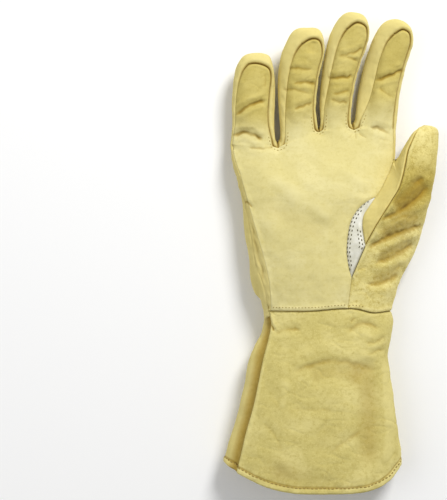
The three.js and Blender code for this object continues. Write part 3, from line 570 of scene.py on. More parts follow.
def finger_lines(name, end):
    """Outermost line, front seam and back seam of a finger, each from its base over the tip and back."""
    table = np.array(FINGERS[name], float)
    count = len(table)
    tip = count // 2
    tipness = smooth(1 - np.abs(np.arange(count) - tip) / 3)[:, None]
    side = table[:, :2]
    core = mix((side + side[::-1]) / 2, (side[tip - 2] + side[tip + 2]) / 2, tipness)
    back = side + unit(core - side) * BACK_SEAM_INSET
    middles = {
        "side": np.hstack([side, FINGER_SIDE_HEIGHT - tipness]),
        "front": np.hstack([table[:, 2:], FRONT_SEAM_HEIGHT - TIP_SEAM_DROP * tipness]),
        "back": np.hstack([back, BACK_SEAM_HEIGHT + 0 * tipness]),
    }
    made = {}
    for k, (kind, middle) in enumerate(middles.items()):
        first, last = FINGER_ENDS[end][k], FINGER_ENDS[end + 1][k]
        made[kind] = sample_finger(np.vstack([first, middle, last]), end)
    return made


def dome(u):
    """1 in the middle and 0 at both ends: 1 - (2u - 1)^4."""
    return 1 - (2 * u - 1) ** 4


def base_line(line, rise):
    """Where a face of a finger leaves the hand: straight between its seams, raised by the dome."""
    u = np.linspace(0, 1, FINGER_COLUMNS + 1)[:, None]
    base = mix(line[0], line[-1], u)
    base[:, 2:] = np.maximum(0, base[:, 2:] + rise * dome(u))
    return base


def finger_panel(line, base, rise):
    """One face of a finger, raised by rise * dome(u), which fades towards the tip as 1 - v^4."""
    left = line[:FINGER_ROWS + 1]
    top = line[FINGER_ROWS:FINGER_ROWS + FINGER_COLUMNS + 1]
    right = line[FINGER_ROWS + FINGER_COLUMNS:][::-1]
    grid = coons(base, top, left, right)
    u = np.linspace(0, 1, FINGER_COLUMNS + 1)[None, 1:-1]
    v = np.linspace(0, 1, FINGER_ROWS + 1)[1:-1, None]
    straight = mix(left[1:-1, 2:], right[1:-1, 2:], u)
    grid[1:-1, 1:-1, 2] = np.maximum(0, straight + rise * dome(u) * (1 - v ** 4))
    return grid


def past_base(points):
    """How far points lie past the line through the finger bases, towards the fingertips."""
    base = np.array([end[0] for end in FINGER_ENDS])
    return points[..., 1] - np.interp(points[..., 0], base[:, 0], base[:, 1])


def beyond_base(points):
    return np.maximum(0, past_base(points))


def settle(grid):
    """Curls the fingers up with the square of the distance beyond their bases, and lets the wrist seam
    wander on the upper side."""
    curl = (beyond_base(grid) / FINGER_REACH) ** 2
    grid[..., 1] -= CURL_SHORTENING * curl
    grid[..., 2] += FINGER_CURL * curl
    near = bell(grid[..., 1] - WRIST_Y, WANDER_REACH) * smooth((grid[..., 2] - 4) / 12)
    grid[..., 1] += near * look_up(WRIST_WANDER[:, 0], WRIST_WANDER[:, 1], grid[..., 0])


# Grids between the seams: lines that several pieces share

names = list(FINGERS)
lines = [finger_lines(name, i) for i, name in enumerate(names)]
hand_rows = [hand_row(i / HAND_ROWS) for i in range(HAND_ROWS + 1)]
wrist = hand_rows[-1]
palm_corner = section_angle(wrist, THUMB_SEAM_AT_WRIST)
side_corner = section_angle(wrist, SIDE_SEAM_AT_WRIST, upper=False)
down = np.linspace(0, 1, HAND_ROWS + 1)[:, None]
upper_rows = np.linspace(0, 1, DETAIL + 1)[:-1, None]

# Palm and the fronts of the fingers

front_bases = [base_line(line["front"], FINGER_RISE) for line in lines]
palm_top = joined(*front_bases)
palm_left = np.array([section(row, row["front"]) for row in hand_rows])
palm_left[0] = palm_top[0]
palm_left_knots = np.vstack([palm_left[0], palm_left[DETAIL::DETAIL]])
palm_left[1:DETAIL] = along(palm_left_knots, np.arange(1, DETAIL) / DETAIL)
palm_right = joined(
    spaced([palm_top[-1], *PALM_TO_WEB, WEB], 2 * DETAIL),
    spaced([WEB, *PALM_BY_THUMB, PATCH_TOP], 3 * DETAIL),
    spaced([PATCH_TOP, *PALM_BY_PATCH, PATCH_FOOT], 5 * DETAIL),
    spaced([PATCH_FOOT, section(wrist, palm_corner)], 2 * DETAIL),
)
column = np.linspace(0, 1, len(palm_top))
palm_bottom = section_run(wrist, wrist["front"], palm_corner, column)
palm = coons(palm_top, palm_bottom, palm_left, palm_right)
for i in range(1, HAND_ROWS):
    row = hand_rows[i]
    crown = section(row, section_angle(row, palm[i, :, 0]))[:, 2]
    height = crown + (palm[i, -1, 2] - crown[-1]) * column ** 3
    palm[i, 1:-1, 2] = mix(palm[i, 1:-1, 2], height[1:-1], smooth(4 * i / HAND_ROWS))
relax(palm, PALM_PASSES)
front_fingers = [finger_panel(line["front"], base, FINGER_RISE) for line, base in zip(lines, front_bases)]

# Back of the hand, backs of the fingers and back of the cuff

back_bases = [base_line(line["back"], -BACK_SEAM_HEIGHT) for line in lines]
back_top = joined(*back_bases)
back_column = np.linspace(0, 1, len(back_top))
# The curve of the crotches goes on down the back, shallower, and fades out.
from_chord = (back_top - mix(back_top[0], back_top[-1], back_column[:, None])) * (0, 1, 0.6)
back_hand = np.array([
    section_run(row, row["back"], 2 * math.pi + row["thumb"], back_column)
    + from_chord * smooth(1 - i / HAND_ROWS / CROTCH_FADE) for i, row in enumerate(hand_rows)])
back_hand[:DETAIL] = mix(back_top[None], back_hand[DETAIL][None], smooth(upper_rows)[:, None])
back_hand[:DETAIL, :, 1] = mix(back_top[:, 1], back_hand[DETAIL, :, 1], upper_rows)
relax(back_hand, BACK_PASSES)
back_fingers = [
    finger_panel(line["back"], base, -BACK_SEAM_HEIGHT) for line, base in zip(lines, back_bases)]

cuff_rows = [cuff_row(i / CUFF_ROWS) for i in range(CUFF_ROWS + 1)]
cuff_back = np.array([
    section_run(row, row["seam"], 2 * math.pi + row["back"], back_column) for row in cuff_rows])
cuff_back[0] = back_hand[-1]

# Strips round the fingers and down both sides of the hand

little_middle = np.array([section(row, (row["front"] + row["back"]) / 2) for row in hand_rows])
little_middle[:DETAIL] = mix(lines[0]["side"][0], little_middle[DETAIL], upper_rows)
thumb_foot = section(wrist, side_corner)
side_seam = joined(palm_right[:2 * DETAIL + 1], spaced([WEB, *THUMB_SIDE_SEAM, thumb_foot], 10 * DETAIL))
index_back = back_hand[:, -1]
index_middle = (side_seam + index_back) / 2
# The side of the hand bulges outwards, most beside the index finger, and lies lower towards the wrist.
near_finger = smooth(1 - 4 * down)
index_middle += np.hstack([mix(0.8, 2.8, near_finger), 0 * down, mix(-1.2, 0, near_finger)])
index_middle[0] = lines[3]["side"][-1]

bands = []
for i, line in enumerate(lines):
    front, side, back = line["front"], line["side"], line["back"]
    if i == 0:
        front = joined(palm_left[::-1], front)
        side = joined(little_middle[::-1], side)
        back = joined(back_hand[::-1, 0], back)
    if i == 3:
        front = joined(front, side_seam)
        side = joined(side, index_middle)
        back = joined(back, index_back)
    bands.append(half_oval(front, side, back, BAND_COLUMNS))
band_column = np.linspace(0, 1, BAND_COLUMNS + 1)
band_foot = section_run(wrist, wrist["front"], wrist["back"], band_column)
side_foot = section_run(wrist, side_corner, wrist["thumb"], band_column)
bands[0][0] = band_foot
bands[3][-1] = side_foot

# Thumb and its patch

ridge = spaced([THUMB_TIP, *THUMB_RIDGE, PATCH_TURN], THUMB_FREE_ROWS + 6 * DETAIL)
underside = spaced([THUMB_TIP, *THUMB_UNDERSIDE, WEB], THUMB_FREE_ROWS)
patch_upper = spaced([PATCH_TOP, *PATCH_BY_THUMB_FRONT, PATCH_TURN], 3 * DETAIL)
patch_lower = spaced([PATCH_TURN, *PATCH_BY_THUMB_BACK, PATCH_FOOT], 2 * DETAIL)
thumb_inner = joined(underside, palm_right[2 * DETAIL:5 * DETAIL + 1], patch_upper)
ridge_full = joined(ridge, patch_lower, palm_right[10 * DETAIL:])
underside_full = joined(underside, side_seam[2 * DETAIL:])
outside = spaced([THUMB_TIP, *THUMB_OUTSIDE, section(wrist, 0.0)], len(ridge_full) - 1)
core = (outside[:len(ridge)] + ridge + thumb_inner) / 3
middle = (ridge + thumb_inner) / 2
chord = unit(thumb_inner - ridge)
away = middle - core
away = unit(away - chord * np.sum(away * chord, axis=1, keepdims=True))
bulge_rows = np.arange(len(THUMB_FRONT_BULGE), dtype=float)
bulge = look_up(bulge_rows, np.array(THUMB_FRONT_BULGE, float), np.linspace(0, bulge_rows[-1], len(ridge)))
thumb_front = half_oval(ridge, middle + away * bulge[:, None], thumb_inner, THUMB_FRONT_COLUMNS)
full_wrap = smooth((THUMB_WRAP_Y - outside[:, 1]) / THUMB_WRAP_SPAN)
thumb_back = outer_wrap(ridge_full, outside, underside_full, full_wrap)
thumb_foot_row = section_run(wrist, palm_corner, side_corner, np.linspace(0, 1, THUMB_COLUMNS + 1))
rows_to_foot = np.arange(len(thumb_back))[::-1]
near_foot = smooth(1 - rows_to_foot / THUMB_FOOT_ROWS)[:, None, None]
thumb_back[:, 1:-1] += near_foot * (thumb_foot_row - thumb_back[-1])[1:-1]
thumb_back[-1] = thumb_foot_row
patch_left = palm_right[5 * DETAIL:10 * DETAIL + 1]
patch_right = joined(patch_upper, patch_lower)
patch = mix(patch_left[:, None], patch_right[:, None], np.linspace(0, 1, PATCH_COLUMNS + 1)[None, :, None])

# Front of the cuff

cuff_top = joined(band_foot[::-1], palm_bottom, thumb_back[-1], side_foot)
top_share = reach_along(cuff_top) / reach_along(cuff_top)[-1]
even_share = np.linspace(0, 1, len(cuff_top))
cuff_share = mix(top_share, even_share, smooth(np.arange(CUFF_ROWS + 1)[:, None] / CUFF_SPACING_ROWS))
cuff_front = np.array([
    section_run(row, row["seam"], row["back"], share) for row, share in zip(cuff_rows, cuff_share)])
cuff_front[0] = cuff_top
cuff_front[1:, 0] = cuff_back[1:, 0]
cuff_front[1:, -1] = cuff_back[1:, -1]

hand_grids = [palm, *front_fingers, back_hand, *back_fingers, *bands, thumb_front, thumb_back, patch]
for grid in [*hand_grids, cuff_back, cuff_front, *[line["front"] for line in lines]]:
    settle(grid)


# Pieces: welded skins with shared seams, folds and a wall

def waves(points, length, seed):
    """Smooth random swell between about -1 and 1: a sum of sines in random directions, whose wavelengths
    are the length divided by 0.6 to 1.6."""
    random = np.random.default_rng(seed)
    heading = random.normal(size=(SWELL_WAVES, 3))
    heading = unit(heading) * 2 * math.pi / length * random.uniform(0.6, 1.6, (SWELL_WAVES, 1))
    phase = random.uniform(0, 2 * math.pi, SWELL_WAVES)
    return np.sin(points @ heading.T + phase).sum(axis=1) * math.sqrt(2 / SWELL_WAVES) / 1.6


def profile(rows, distance):
    """Sum of bells across a line: height * bell(distance - place, reach) for each row of the three."""
    return sum(height * bell(distance - place, reach) for height, place, reach in rows)


def beside_lines(points, table):
    """Goes through a table of curves, each through three points seen from above. Gives the numbers of the
    points near one, their distance from it as a share of its reach, how much of it is left towards its ends,
    its depth and its reach."""
    for x1, y1, x2, y2, x3, y3, depth, reach in table:
        line = along([(x1, y1, 0), (x2, y2, 0), (x3, y3, 0)], np.linspace(0, 2, LINE_STEPS + 1))[:, :2]
        span = np.linalg.norm(line[-1] - line[0]) * 0.6 + 3 * reach
        near = np.flatnonzero(np.linalg.norm(points[:, :2] - line[LINE_STEPS // 2], axis=1) < span)
        spot = points[near, :2]
        best = np.full(len(spot), np.inf)
        place = np.zeros(len(spot))
        for k in range(LINE_STEPS):
            step = line[k + 1] - line[k]
            t = np.clip(((spot - line[k]) @ step) / (step @ step), 0, 1)
            distance = np.linalg.norm(spot - line[k] - t[:, None] * step, axis=1)
            place = np.where(distance < best, (k + t) / LINE_STEPS, place)
            best = np.minimum(best, distance)
        ends = smooth(place / LINE_TAPER) * smooth((1 - place) / LINE_TAPER)
        yield near, best / reach, ends, depth, reach


def dents(points, table):
    """Depth of the soft dents, depth * ends * smooth(1 - ratio), and the painted shade of each point in
    them.
    """
    total = np.zeros(len(points))
    dark = np.zeros(len(points))
    for near, ratio, ends, depth, _ in beside_lines(points, table):
        total[near] += depth * ends * smooth(1 - ratio)
        dark[near] += DENT_SHADE_PER_MM * max(depth, 0) * ends * smooth(1 - ratio)
    return total, np.minimum(dark, 1)


def creases(points, table, waver):
    """Depth of the sharp folds, whose lines waver, and how far each point is down into one, from 0 to 1."""
    drift = np.column_stack([waves(points, 9, 31), waves(points, 6, 32), 0 * points[:, 2]])
    points = points + drift * waver
    strength = 0.95 + 0.22 * waves(points, 9, 33)
    total = np.zeros(len(points))
    inside = np.zeros(len(points))
    for near, ratio, ends, depth, reach in beside_lines(points, table):
        ends = ends * strength[near]
        total[near] += depth * ends * profile(CREASE_PROFILE, ratio)
        inside[near] += ends * bell(ratio, 0.42) * min(1, 1.9 * depth / (reach + 1))
    return total, np.minimum(inside, 1)


def wrinkles(points, length, seed):
    """Fine meandering valleys in some places: narrow bells about the lines where a swell is nought."""
    place = points * (0.6, 1.3, 0.8)
    return bell(waves(place, length, seed), 0.24) * smooth(waves(points, 2.2 * length, seed + 1) + 0.35)


def codes(points):
    """A whole number for each place, the same for points that coincide: 20 bits for each coordinate, which
    hold the micrometres from -300 mm."""
    steps = np.round((points + 300) * 1000).astype(np.int64)
    return (steps[:, 0] << 40) + (steps[:, 1] << 20) + steps[:, 2]


def all_edges(faces):
    return np.concatenate([faces[:, [0, 1]], faces[:, [1, 2]], faces[:, [2, 0]]])


def open_edges(faces, count):
    """Edges that one triangle has and no other has the other way round."""
    edges = all_edges(faces).astype(np.int64)
    forwards = edges[:, 0] * count + edges[:, 1]
    backwards = edges[:, 1] * count + edges[:, 0]
    return edges[~np.isin(forwards, backwards)]


def face_normals(points, faces):
    corner = points[faces]
    return np.cross(corner[:, 1] - corner[:, 0], corner[:, 2] - corner[:, 0])


def normals_of(points, faces):
    """Normal of each point: the sum of those of its triangles, larger triangles counting for more."""
    normal = face_normals(points, faces)
    total = np.zeros_like(points)
    for k in range(3):
        np.add.at(total, faces[:, k], normal)
    return unit(total)


def weld(grids, core):
    """Joins grids into one skin of triangles facing away from the core. Returns points, faces and ids."""
    flat = np.concatenate([grid.reshape(-1, 3) for grid in grids])
    _, first, ids = np.unique(codes(flat), return_index=True, return_inverse=True)
    points = flat[first]
    faces, grid_ids, start = [], [], 0
    for grid in grids:
        rows, columns = grid.shape[:2]
        index = ids[start:start + rows * columns].reshape(rows, columns)
        start += rows * columns
        a, b, c, d = index[:-1, :-1], index[:-1, 1:], index[1:, 1:], index[1:, :-1]
        halves = [np.stack(three, -1).reshape(-1, 3) for three in ((a, b, c), (a, c, d))]
        triangles = np.concatenate(halves)
        if np.sum(face_normals(points, triangles) * (points[triangles[:, 0]] - core)) < 0:
            triangles = triangles[:, ::-1]
        faces.append(triangles)
        grid_ids.append(index)
    faces = np.concatenate(faces)
    whole = (faces[:, 0] != faces[:, 1]) & (faces[:, 1] != faces[:, 2]) & (faces[:, 2] != faces[:, 0])
    return points, faces[whole], grid_ids


def nearest_of(points, targets):
    """Distance to the nearest target and its number, worked out a block of points at a time."""
    distance = np.zeros(len(points))
    number = np.zeros(len(points), int)
    square = np.sum(targets ** 2, axis=1)
    for start in range(0, len(points), NEAREST_BLOCK):
        part = slice(start, start + NEAREST_BLOCK)
        block = points[part]
        gap = np.sum(block ** 2, axis=1)[:, None] + square - 2 * block @ targets.T
        number[part] = np.argmin(gap, axis=1)
        distance[part] = np.linalg.norm(block - targets[number[part]], axis=1)
    return distance, number


class Skin:
    """One piece of cloth: its points, faces and open edges, and how far every point is from its seams."""

    def __init__(self, name, grids, core, hem=None):
        self.name = name
        self.points, self.faces, self.grids = weld(grids, np.array(core, float))
        self.edges = open_edges(self.faces, len(self.points))
        self.rim = np.unique(self.edges)
        self.normals = normals_of(self.points, self.faces)
        self.hem = self.grids[hem][-1] if hem is not None else None
        self.seam = np.setdiff1d(self.rim, self.hem[1:-1]) if hem is not None else self.rim

    def ease(self, weight, passes):
        """Moves heights towards the mean of their neighbours, as far as the weight says."""
        edges = all_edges(self.faces)
        count = len(self.points)
        degree = np.bincount(edges[:, 0], minlength=count)
        weight = weight / np.maximum(degree, 1)
        weight[self.rim] = 0
        z = self.points[:, 2]
        for _ in range(passes):
            z += weight * (np.bincount(edges[:, 0], z[edges[:, 1]], count) - degree * z)
        self.normals = normals_of(self.points, self.faces)

    def measure(self, places, shared):
        """Distances to the nearest seam and to the hem, and normals that are the shared ones at a seam."""
        at_rim = shared[np.searchsorted(places, codes(self.points[self.rim]))]
        at_seam = shared[np.searchsorted(places, codes(self.points[self.seam]))]
        self.distance, self.nearest = nearest_of(self.points, self.points[self.seam])
        self.at_seam = self.points[self.seam][self.nearest]
        turned = bell(self.distance, 1.6)[:, None]
        self.normals = unit(mix(self.normals, at_seam[self.nearest], turned))
        self.normals[self.rim] = at_rim
        self.to_hem = np.full(len(self.points), 1e3)
        if self.hem is not None:
            self.to_hem, _ = nearest_of(self.points, self.points[self.hem])

    def beside(self, *runs):
        """1 where the nearest seam point lies on one of the given lines, and 0 elsewhere."""
        hits = np.isin(codes(self.points[self.seam]), codes(np.concatenate(runs)))
        return hits[self.nearest].astype(float)


def finger_core(line):
    """A point between the two sides of a finger, below its tip."""
    side = line["side"]
    return mix(side[FINGER_ROWS], side[FINGER_ROWS + FINGER_COLUMNS], 0.5) - (0, 40, 0)


skins = [
    Skin("palm_panel", [palm, *front_fingers], (0, 50, -500)),
    Skin("back_panel", [back_hand, cuff_back, *back_fingers], (0, 0, 500), hem=1),
    *[Skin(f"{name}_finger_side", [bands[i]], finger_core(lines[i])) for i, name in enumerate(names)],
    Skin("thumb_front", [thumb_front], (70, 50, 18)),
    Skin("thumb_back", [thumb_back], (30, 30, 15)),
    Skin("thumb_patch", [patch], (15, 5, -500)),
    Skin("cuff_front", [cuff_front], (-10, -110, -60), hem=0),
]
palm_skin, back_skin = skins[:2]
thumb_skin, patch_skin, cuff_skin = skins[-3:]
underneath = back_skin.points[:, 2] < BACK_BASE_BELOW
palm_skin.ease(bell(past_base(palm_skin.points), PALM_BASE_REACH), PALM_BASE_PASSES)
back_skin.ease(bell(past_base(back_skin.points), BACK_BASE_REACH) * underneath, BACK_BASE_PASSES)

rim_codes = np.concatenate([codes(skin.points[skin.rim]) for skin in skins])
rim_places, which = np.unique(rim_codes, return_inverse=True)
rim_normals = np.zeros((len(rim_places), 3))
np.add.at(rim_normals, which, np.concatenate([skin.normals[skin.rim] for skin in skins]))
rim_normals = unit(rim_normals)

# Seams and places that are shaped in a way of their own. The side seams start a few rows off the corners.
WRIST_SEAM = [cuff_front[0]]
CUFF_SEAM = [cuff_back[6:, 0]]
RIGHT_SEAMS = [line["front"][FINGER_ROWS + FINGER_COLUMNS // 2:] for line in lines]
LEFT_SEAMS = [palm[6:, 0], *[line["front"][:FINGER_ROWS - 8] for line in lines]]
THUMB_SEAM = [thumb_back[DETAIL:14 * DETAIL, 0]]
TIPS = np.array([line["front"][FINGER_ROWS + FINGER_COLUMNS // 2] for line in lines])
CROTCHES = np.array([line["front"][-1] for line in lines[:3]])

# How much there is of the groove, the roll and the painted shade in the groove, one in each row: everywhere,
# then how much more at fingertips, in crotches, and along seams on the right and on the left
SEAM_SHARES = np.array([
    (0.6, 1.4, 0.5, 0.35, -0.5),
    (0.12, 0.3, 0.5, 0.15, 0),
    (0.2, 1.3, 0.6, 0.3, -0.15),
])

# Bells across a line: height, distance from the line and reach. In the rows of shadow and shade the height
# is an amount of painted shade.
CREASE_PROFILE = [(0.5, 0, 0.33), (0.4, 0, 0.9), (-0.22, 1.5, 0.6)]
THUMB_RIM = [(0.5, 0, 1), (0.7, 1.2, 1.1)]
THUMB_VALLEY = [(-0.7, 0, 1.3)]
THUMB_VALLEY_SHADOW = [(0.95, 0, 0.95)]
WRIST_OVERLAP = [(0.8, 0, 4)]
WRIST_OVERLAP_WALL = [(0.8, 0, 3)]
WRIST_VALLEY = [(-0.6, 0, 3)]
WRIST_VALLEY_SHADOW = [(0.4, 0, 1)]
CUFF_RIDGE = [(0.7, 1, 2)]
CUFF_VALLEY = [(-2.2, 3.6, 3.6)]
CUFF_VALLEY_SHADE = [(0.75, 3, 4.5), (0.15, 2, 9)]

# How crumpled a piece is all over and how much painted shade its dents get, where it isn't as the others
CRUMPLED = {"cuff_front": 1.1, "thumb_front": 0.9, "thumb_back": 0.9, "thumb_patch": 0.9}
DENT_PAINTED_SHADE = {"thumb_back": 1.25}


def nearness(points, places, reach):
    gap = np.linalg.norm(points[:, None] - places[None], axis=2).min(axis=1)
    return bell(gap, reach)


def shape_thumb(skin, shift, stain):
    """The thumb's suede stands over the leather and the cloth beside it. Returns shift and painted shade."""
    on_thumb = skin.beside(*THUMB_SEAM)
    if skin.name == "thumb_back":
        return shift + on_thumb * profile(THUMB_RIM, skin.distance), stain * (1 - on_thumb)
    shift = shift + on_thumb * profile(THUMB_VALLEY, skin.distance)
    if skin.name == "thumb_patch":
        shift += 0.5 * (1 - bell(skin.distance, 1.2))
    # Painted shadow in the valley beside the suede's rim
    return shift, stain + on_thumb * profile(THUMB_VALLEY_SHADOW, skin.distance)


def shape_seams(skin):
    """Groove at each seam with a rolled edge beside it, deepest at fingertips. Returns shift and painted
    shade.
    """
    distance = skin.distance
    tip = nearness(skin.at_seam, TIPS, TIP_REACH)
    crotch = nearness(skin.at_seam, CROTCHES, CROTCH_REACH)
    right = skin.beside(*RIGHT_SEAMS) * (1 - tip)
    left = skin.beside(*LEFT_SEAMS) * (1 - tip) * (1 - crotch)
    groove, roll, dark = SEAM_SHARES @ np.stack([np.ones(len(tip)), tip, crotch, right, left])
    shift = roll * bell(distance - SEAM_ROLL_INSET, 1) + 0.5 * left * bell(distance, 1.5)
    shift -= GROOVE_DEPTH * groove * bell(distance, mix(GROOVE_REACH, TIP_GROOVE_REACH, tip))
    # Painted shade along the grooves, darkest at fingertips, where it stands for the shadow under the band's
    # lip
    stain = bell(distance, mix(0.9, 0.65, tip)) * np.clip(dark, 0, MOST_PAINTED_SHADE)
    if skin.name.startswith("thumb"):
        shift, stain = shape_thumb(skin, shift, stain)
    at_wrist = skin.beside(*WRIST_SEAM)
    at_side = skin.beside(*CUFF_SEAM)
    if skin.name == "back_panel":
        shift += at_side * profile(CUFF_VALLEY, distance)
        # Painted shade in the valley beside the cuff's side seam
        stain = 0.6 * stain + at_side * profile(CUFF_VALLEY_SHADE, distance)
    elif skin.name == "cuff_front":
        shift += at_wrist * profile(WRIST_VALLEY, distance) + at_side * profile(CUFF_RIDGE, distance)
        # Painted shadow on the cuff below the palm's edge at the wrist seam
        stain = (stain + at_wrist * profile(WRIST_VALLEY_SHADOW, distance)) * (1 - at_side)
    else:
        at_top = at_wrist * smooth(skin.normals[:, 2] / 0.7)
        shift += at_top * profile(WRIST_OVERLAP, distance)
        skin.wall += at_top * profile(WRIST_OVERLAP_WALL, distance)
        stain *= 1 - at_wrist
    return shift, stain


def shape_underside(skin, inside):
    """Creases, gathers at the wrist and swell of the back. Returns the shift and the painted shade in folds
    and gathers.
    """
    x, y, z = skin.points.T
    floor_side = smooth((12 - z) / 8)
    depth, folded = creases(skin.points, BACK_CREASES, 0.1)
    gathered = bell(y - GATHERS_Y, GATHERS_REACH + 4 * np.sin(x * 0.43 + 1)) * inside
    pleat = 0.5 + 0.5 * np.sin(x * 0.9 + 0.05 * y + 1.2 * np.sin(x * 0.21))
    swell = 0.3 * waves(skin.points, 24, 5) * inside * smooth(z / 4)
    shift = swell - 0.8 * depth * floor_side - gathered * (0.3 + 2.8 * pleat ** 2)
    return shift, 0.45 * folded * floor_side + 0.3 * gathered * pleat ** 4


def shape_top(skin, inside):
    """Folds, dents, wrinkles and swell where the cloth faces up. Returns the shift and the painted shade in
    folds and dents.
    """
    points = skin.points
    facing_up = smooth((points[:, 2] - 11) / 7) * smooth(skin.normals[:, 2] * 2 + 0.6)
    depth, folded = creases(points, CREASES, 0.38)
    dent, dented = dents(points, DENTS)
    held = 1 - 0.75 * bell(skin.distance, 1.2)
    crumpled = CRUMPLED.get(skin.name, 0.35 + 0.65 * smooth(beyond_base(points) / 12))
    swell = 0.3 * waves(points, 26, 3) + 0.12 * waves(points, 11, 17)
    fine = swell - 0.3 * crumpled * wrinkles(points, 15, 41)
    stain = 0.9 * folded + DENT_PAINTED_SHADE.get(skin.name, 0.8) * dented
    return (fine * inside - depth * held - dent) * facing_up, stain * facing_up


def turn_hem(skin):
    """Hem turned inwards, stitched down and rounded off. Changes the wall, returns shift and a painted
    shadow along the stitches.
    """
    turned = smooth((HEM_STITCH_INSET - skin.to_hem) / 1.2)
    drop = np.clip(HEM_ROUNDING - skin.to_hem, 0, HEM_ROUNDING)
    rounding = HEM_ROUNDING - np.sqrt(HEM_ROUNDING ** 2 - drop ** 2)
    skin.wall += turned - rounding * (WALL + 1) / HEM_ROUNDING
    shift = 0.55 * turned - 0.4 * bell(skin.to_hem - HEM_STITCH_INSET, 0.8) - rounding
    shift += 0.4 * waves(skin.points, 11, 13) * bell(skin.to_hem - 2, 6)
    return shift, 0.6 * bell(skin.to_hem - HEM_STITCH_INSET - 0.3, 0.7)


def shape_cloth(skin):
    """Moves a skin's points along their normals: seams, folds, gathers, swell, puckers and the hem."""
    points, distance = skin.points, skin.distance
    inside = 1 - bell(distance, 3)
    skin.wall = np.full(len(points), WALL)
    made = [shape_seams(skin)]
    if skin.name == "back_panel":
        made.append(shape_underside(skin, inside))
    else:
        made.append(shape_top(skin, inside))
    # Painted shade over the lower left of the cuff
    if skin.name == "cuff_front":
        x, y, reach_x, reach_y, strength = CUFF_SHADED_AREA
        made.append((0, strength * bell(points[:, 0] - x, reach_x) * bell(points[:, 1] - y, reach_y)))
    # Painted shade low on the finger sides, between the fingers
    if skin.name.endswith("finger_side"):
        made.append((0, 0.4 * smooth((12 - points[:, 2]) / 8)))
    if skin.hem is not None:
        made.append(turn_hem(skin))
    puckers = 0.28 * waves(points, 7, 11) * bell(distance, 3.5) * (1 - bell(distance, 0.8))
    skin.shift = sum(shift for shift, _ in made) + puckers + 0.05 * waves(points, 9, 7)
    skin.stain = np.clip(sum(stain for _, stain in made), 0, MOST_PAINTED_SHADE)
    skin.outer = points + skin.normals * skin.shift[:, None]


def sideways(skin):
    """For each rim point, the direction along the cloth away from its open edge."""
    total = np.zeros_like(skin.points)
    step = skin.outer[skin.edges[:, 1]] - skin.outer[skin.edges[:, 0]]
    for k in range(2):
        np.add.at(total, skin.edges[:, k], np.cross(skin.normals[skin.edges[:, k]], step))
    return unit(total)


def add_object(name, data):
    made = bpy.data.objects.new(name, data)
    bpy.context.scene.collection.objects.link(made)
    return made


def add_piece(name, points, faces, material, layers=()):
    """Puts a mesh in millimetres into the scene as a piece that rides on the glove."""
    mesh = bpy.data.meshes.new(name)
    mesh.from_pydata(((points + ORIGIN_SHIFT) * MM).tolist(), [], faces.tolist())
    mesh.polygons.foreach_set("use_smooth", np.ones(len(faces), bool))
    for label, values in layers:
        layer = mesh.attributes.new(label, "FLOAT", "POINT")
        layer.data.foreach_set("value", values.astype(np.float32))
    mesh.update()
    mesh.materials.append(material)
    piece = add_object(name, mesh)
    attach(piece, "root")
    return piece


def add_cloth(skin, material, slot):
    """Outer skin, inner skin and the wall round the open edges, as one closed mesh."""
    outer = skin.outer + sideways(skin) * SEAM_GAP
    outer[:, 2] = np.maximum(outer[:, 2], 0)
    inner = outer - skin.normals * np.maximum(skin.wall, LEAST_WALL)[:, None]
    inner[:, 2] = np.maximum(inner[:, 2], LEAST_HEIGHT_INSIDE)
    count = len(outer)
    a, b = skin.edges[:, 0], skin.edges[:, 1]
    walls = np.concatenate([np.stack([b, a, a + count], 1), np.stack([b, a + count, b + count], 1)])
    faces = np.concatenate([skin.faces, skin.faces[:, ::-1] + count, walls])
    skin.outer = outer
    # Share of painted shade: up the finger fronts, and round the middle of the thumb's outside
    up_finger = smooth(beyond_base(skin.points) / 28)
    if skin.name == "thumb_back":
        up_finger = 0.12 + 0.88 * bell(skin.points[:, 1] - 46, 24)
    values = {"stain": skin.stain, "up_finger": up_finger, "raised": skin.shift}
    layers = [(label, np.tile(value, 2)) for label, value in values.items()]
    points = np.concatenate([outer, inner])
    piece = add_piece(skin.name + "_cloth", points, faces, material, layers)
    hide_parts(skin.name)


# Stitches

def inset_run(skin, number, edge, inset, start=0.0, stop=1.0):
    """Points and normals along a line that keeps a distance from the left, right or bottom edge of a grid,
    from one share of that edge to another."""
    ids = skin.grids[number]
    if edge == "bottom":
        ids = ids.T
    if edge != "left":
        ids = ids[:, ::-1]
    ids = ids[int(start * len(ids)):int(stop * len(ids))]
    across = skin.outer[ids]
    steps = np.linalg.norm(np.diff(across, axis=1), axis=2)
    reach = np.concatenate([np.zeros((len(ids), 1)), np.cumsum(steps, axis=1)], axis=1)
    after = np.maximum(np.argmax(reach >= inset, axis=1), 1)
    row = np.arange(len(ids))
    t = (inset - reach[row, after - 1]) / (reach[row, after] - reach[row, after - 1])
    return mix(across[row, after - 1], across[row, after], t[:, None]), skin.normals[ids[row, after]]


def draped(skin, line):
    """Points and normals where a line seen from above lies on a skin: on the plane through the nearest of
    its points that face up."""
    top = np.flatnonzero(skin.normals[:, 2] > 0.25)
    flat = np.hstack([skin.outer[top, :2], np.zeros((len(top), 1))])
    _, number = nearest_of(np.hstack([line[:, :2], np.zeros((len(line), 1))]), flat)
    spot, normal = skin.outer[top[number]], skin.normals[top[number]]
    slope = np.sum(normal[:, :2] * (line[:, :2] - spot[:, :2]), axis=1) / normal[:, 2]
    return np.column_stack([line[:, :2], spot[:, 2] - slope]), normal


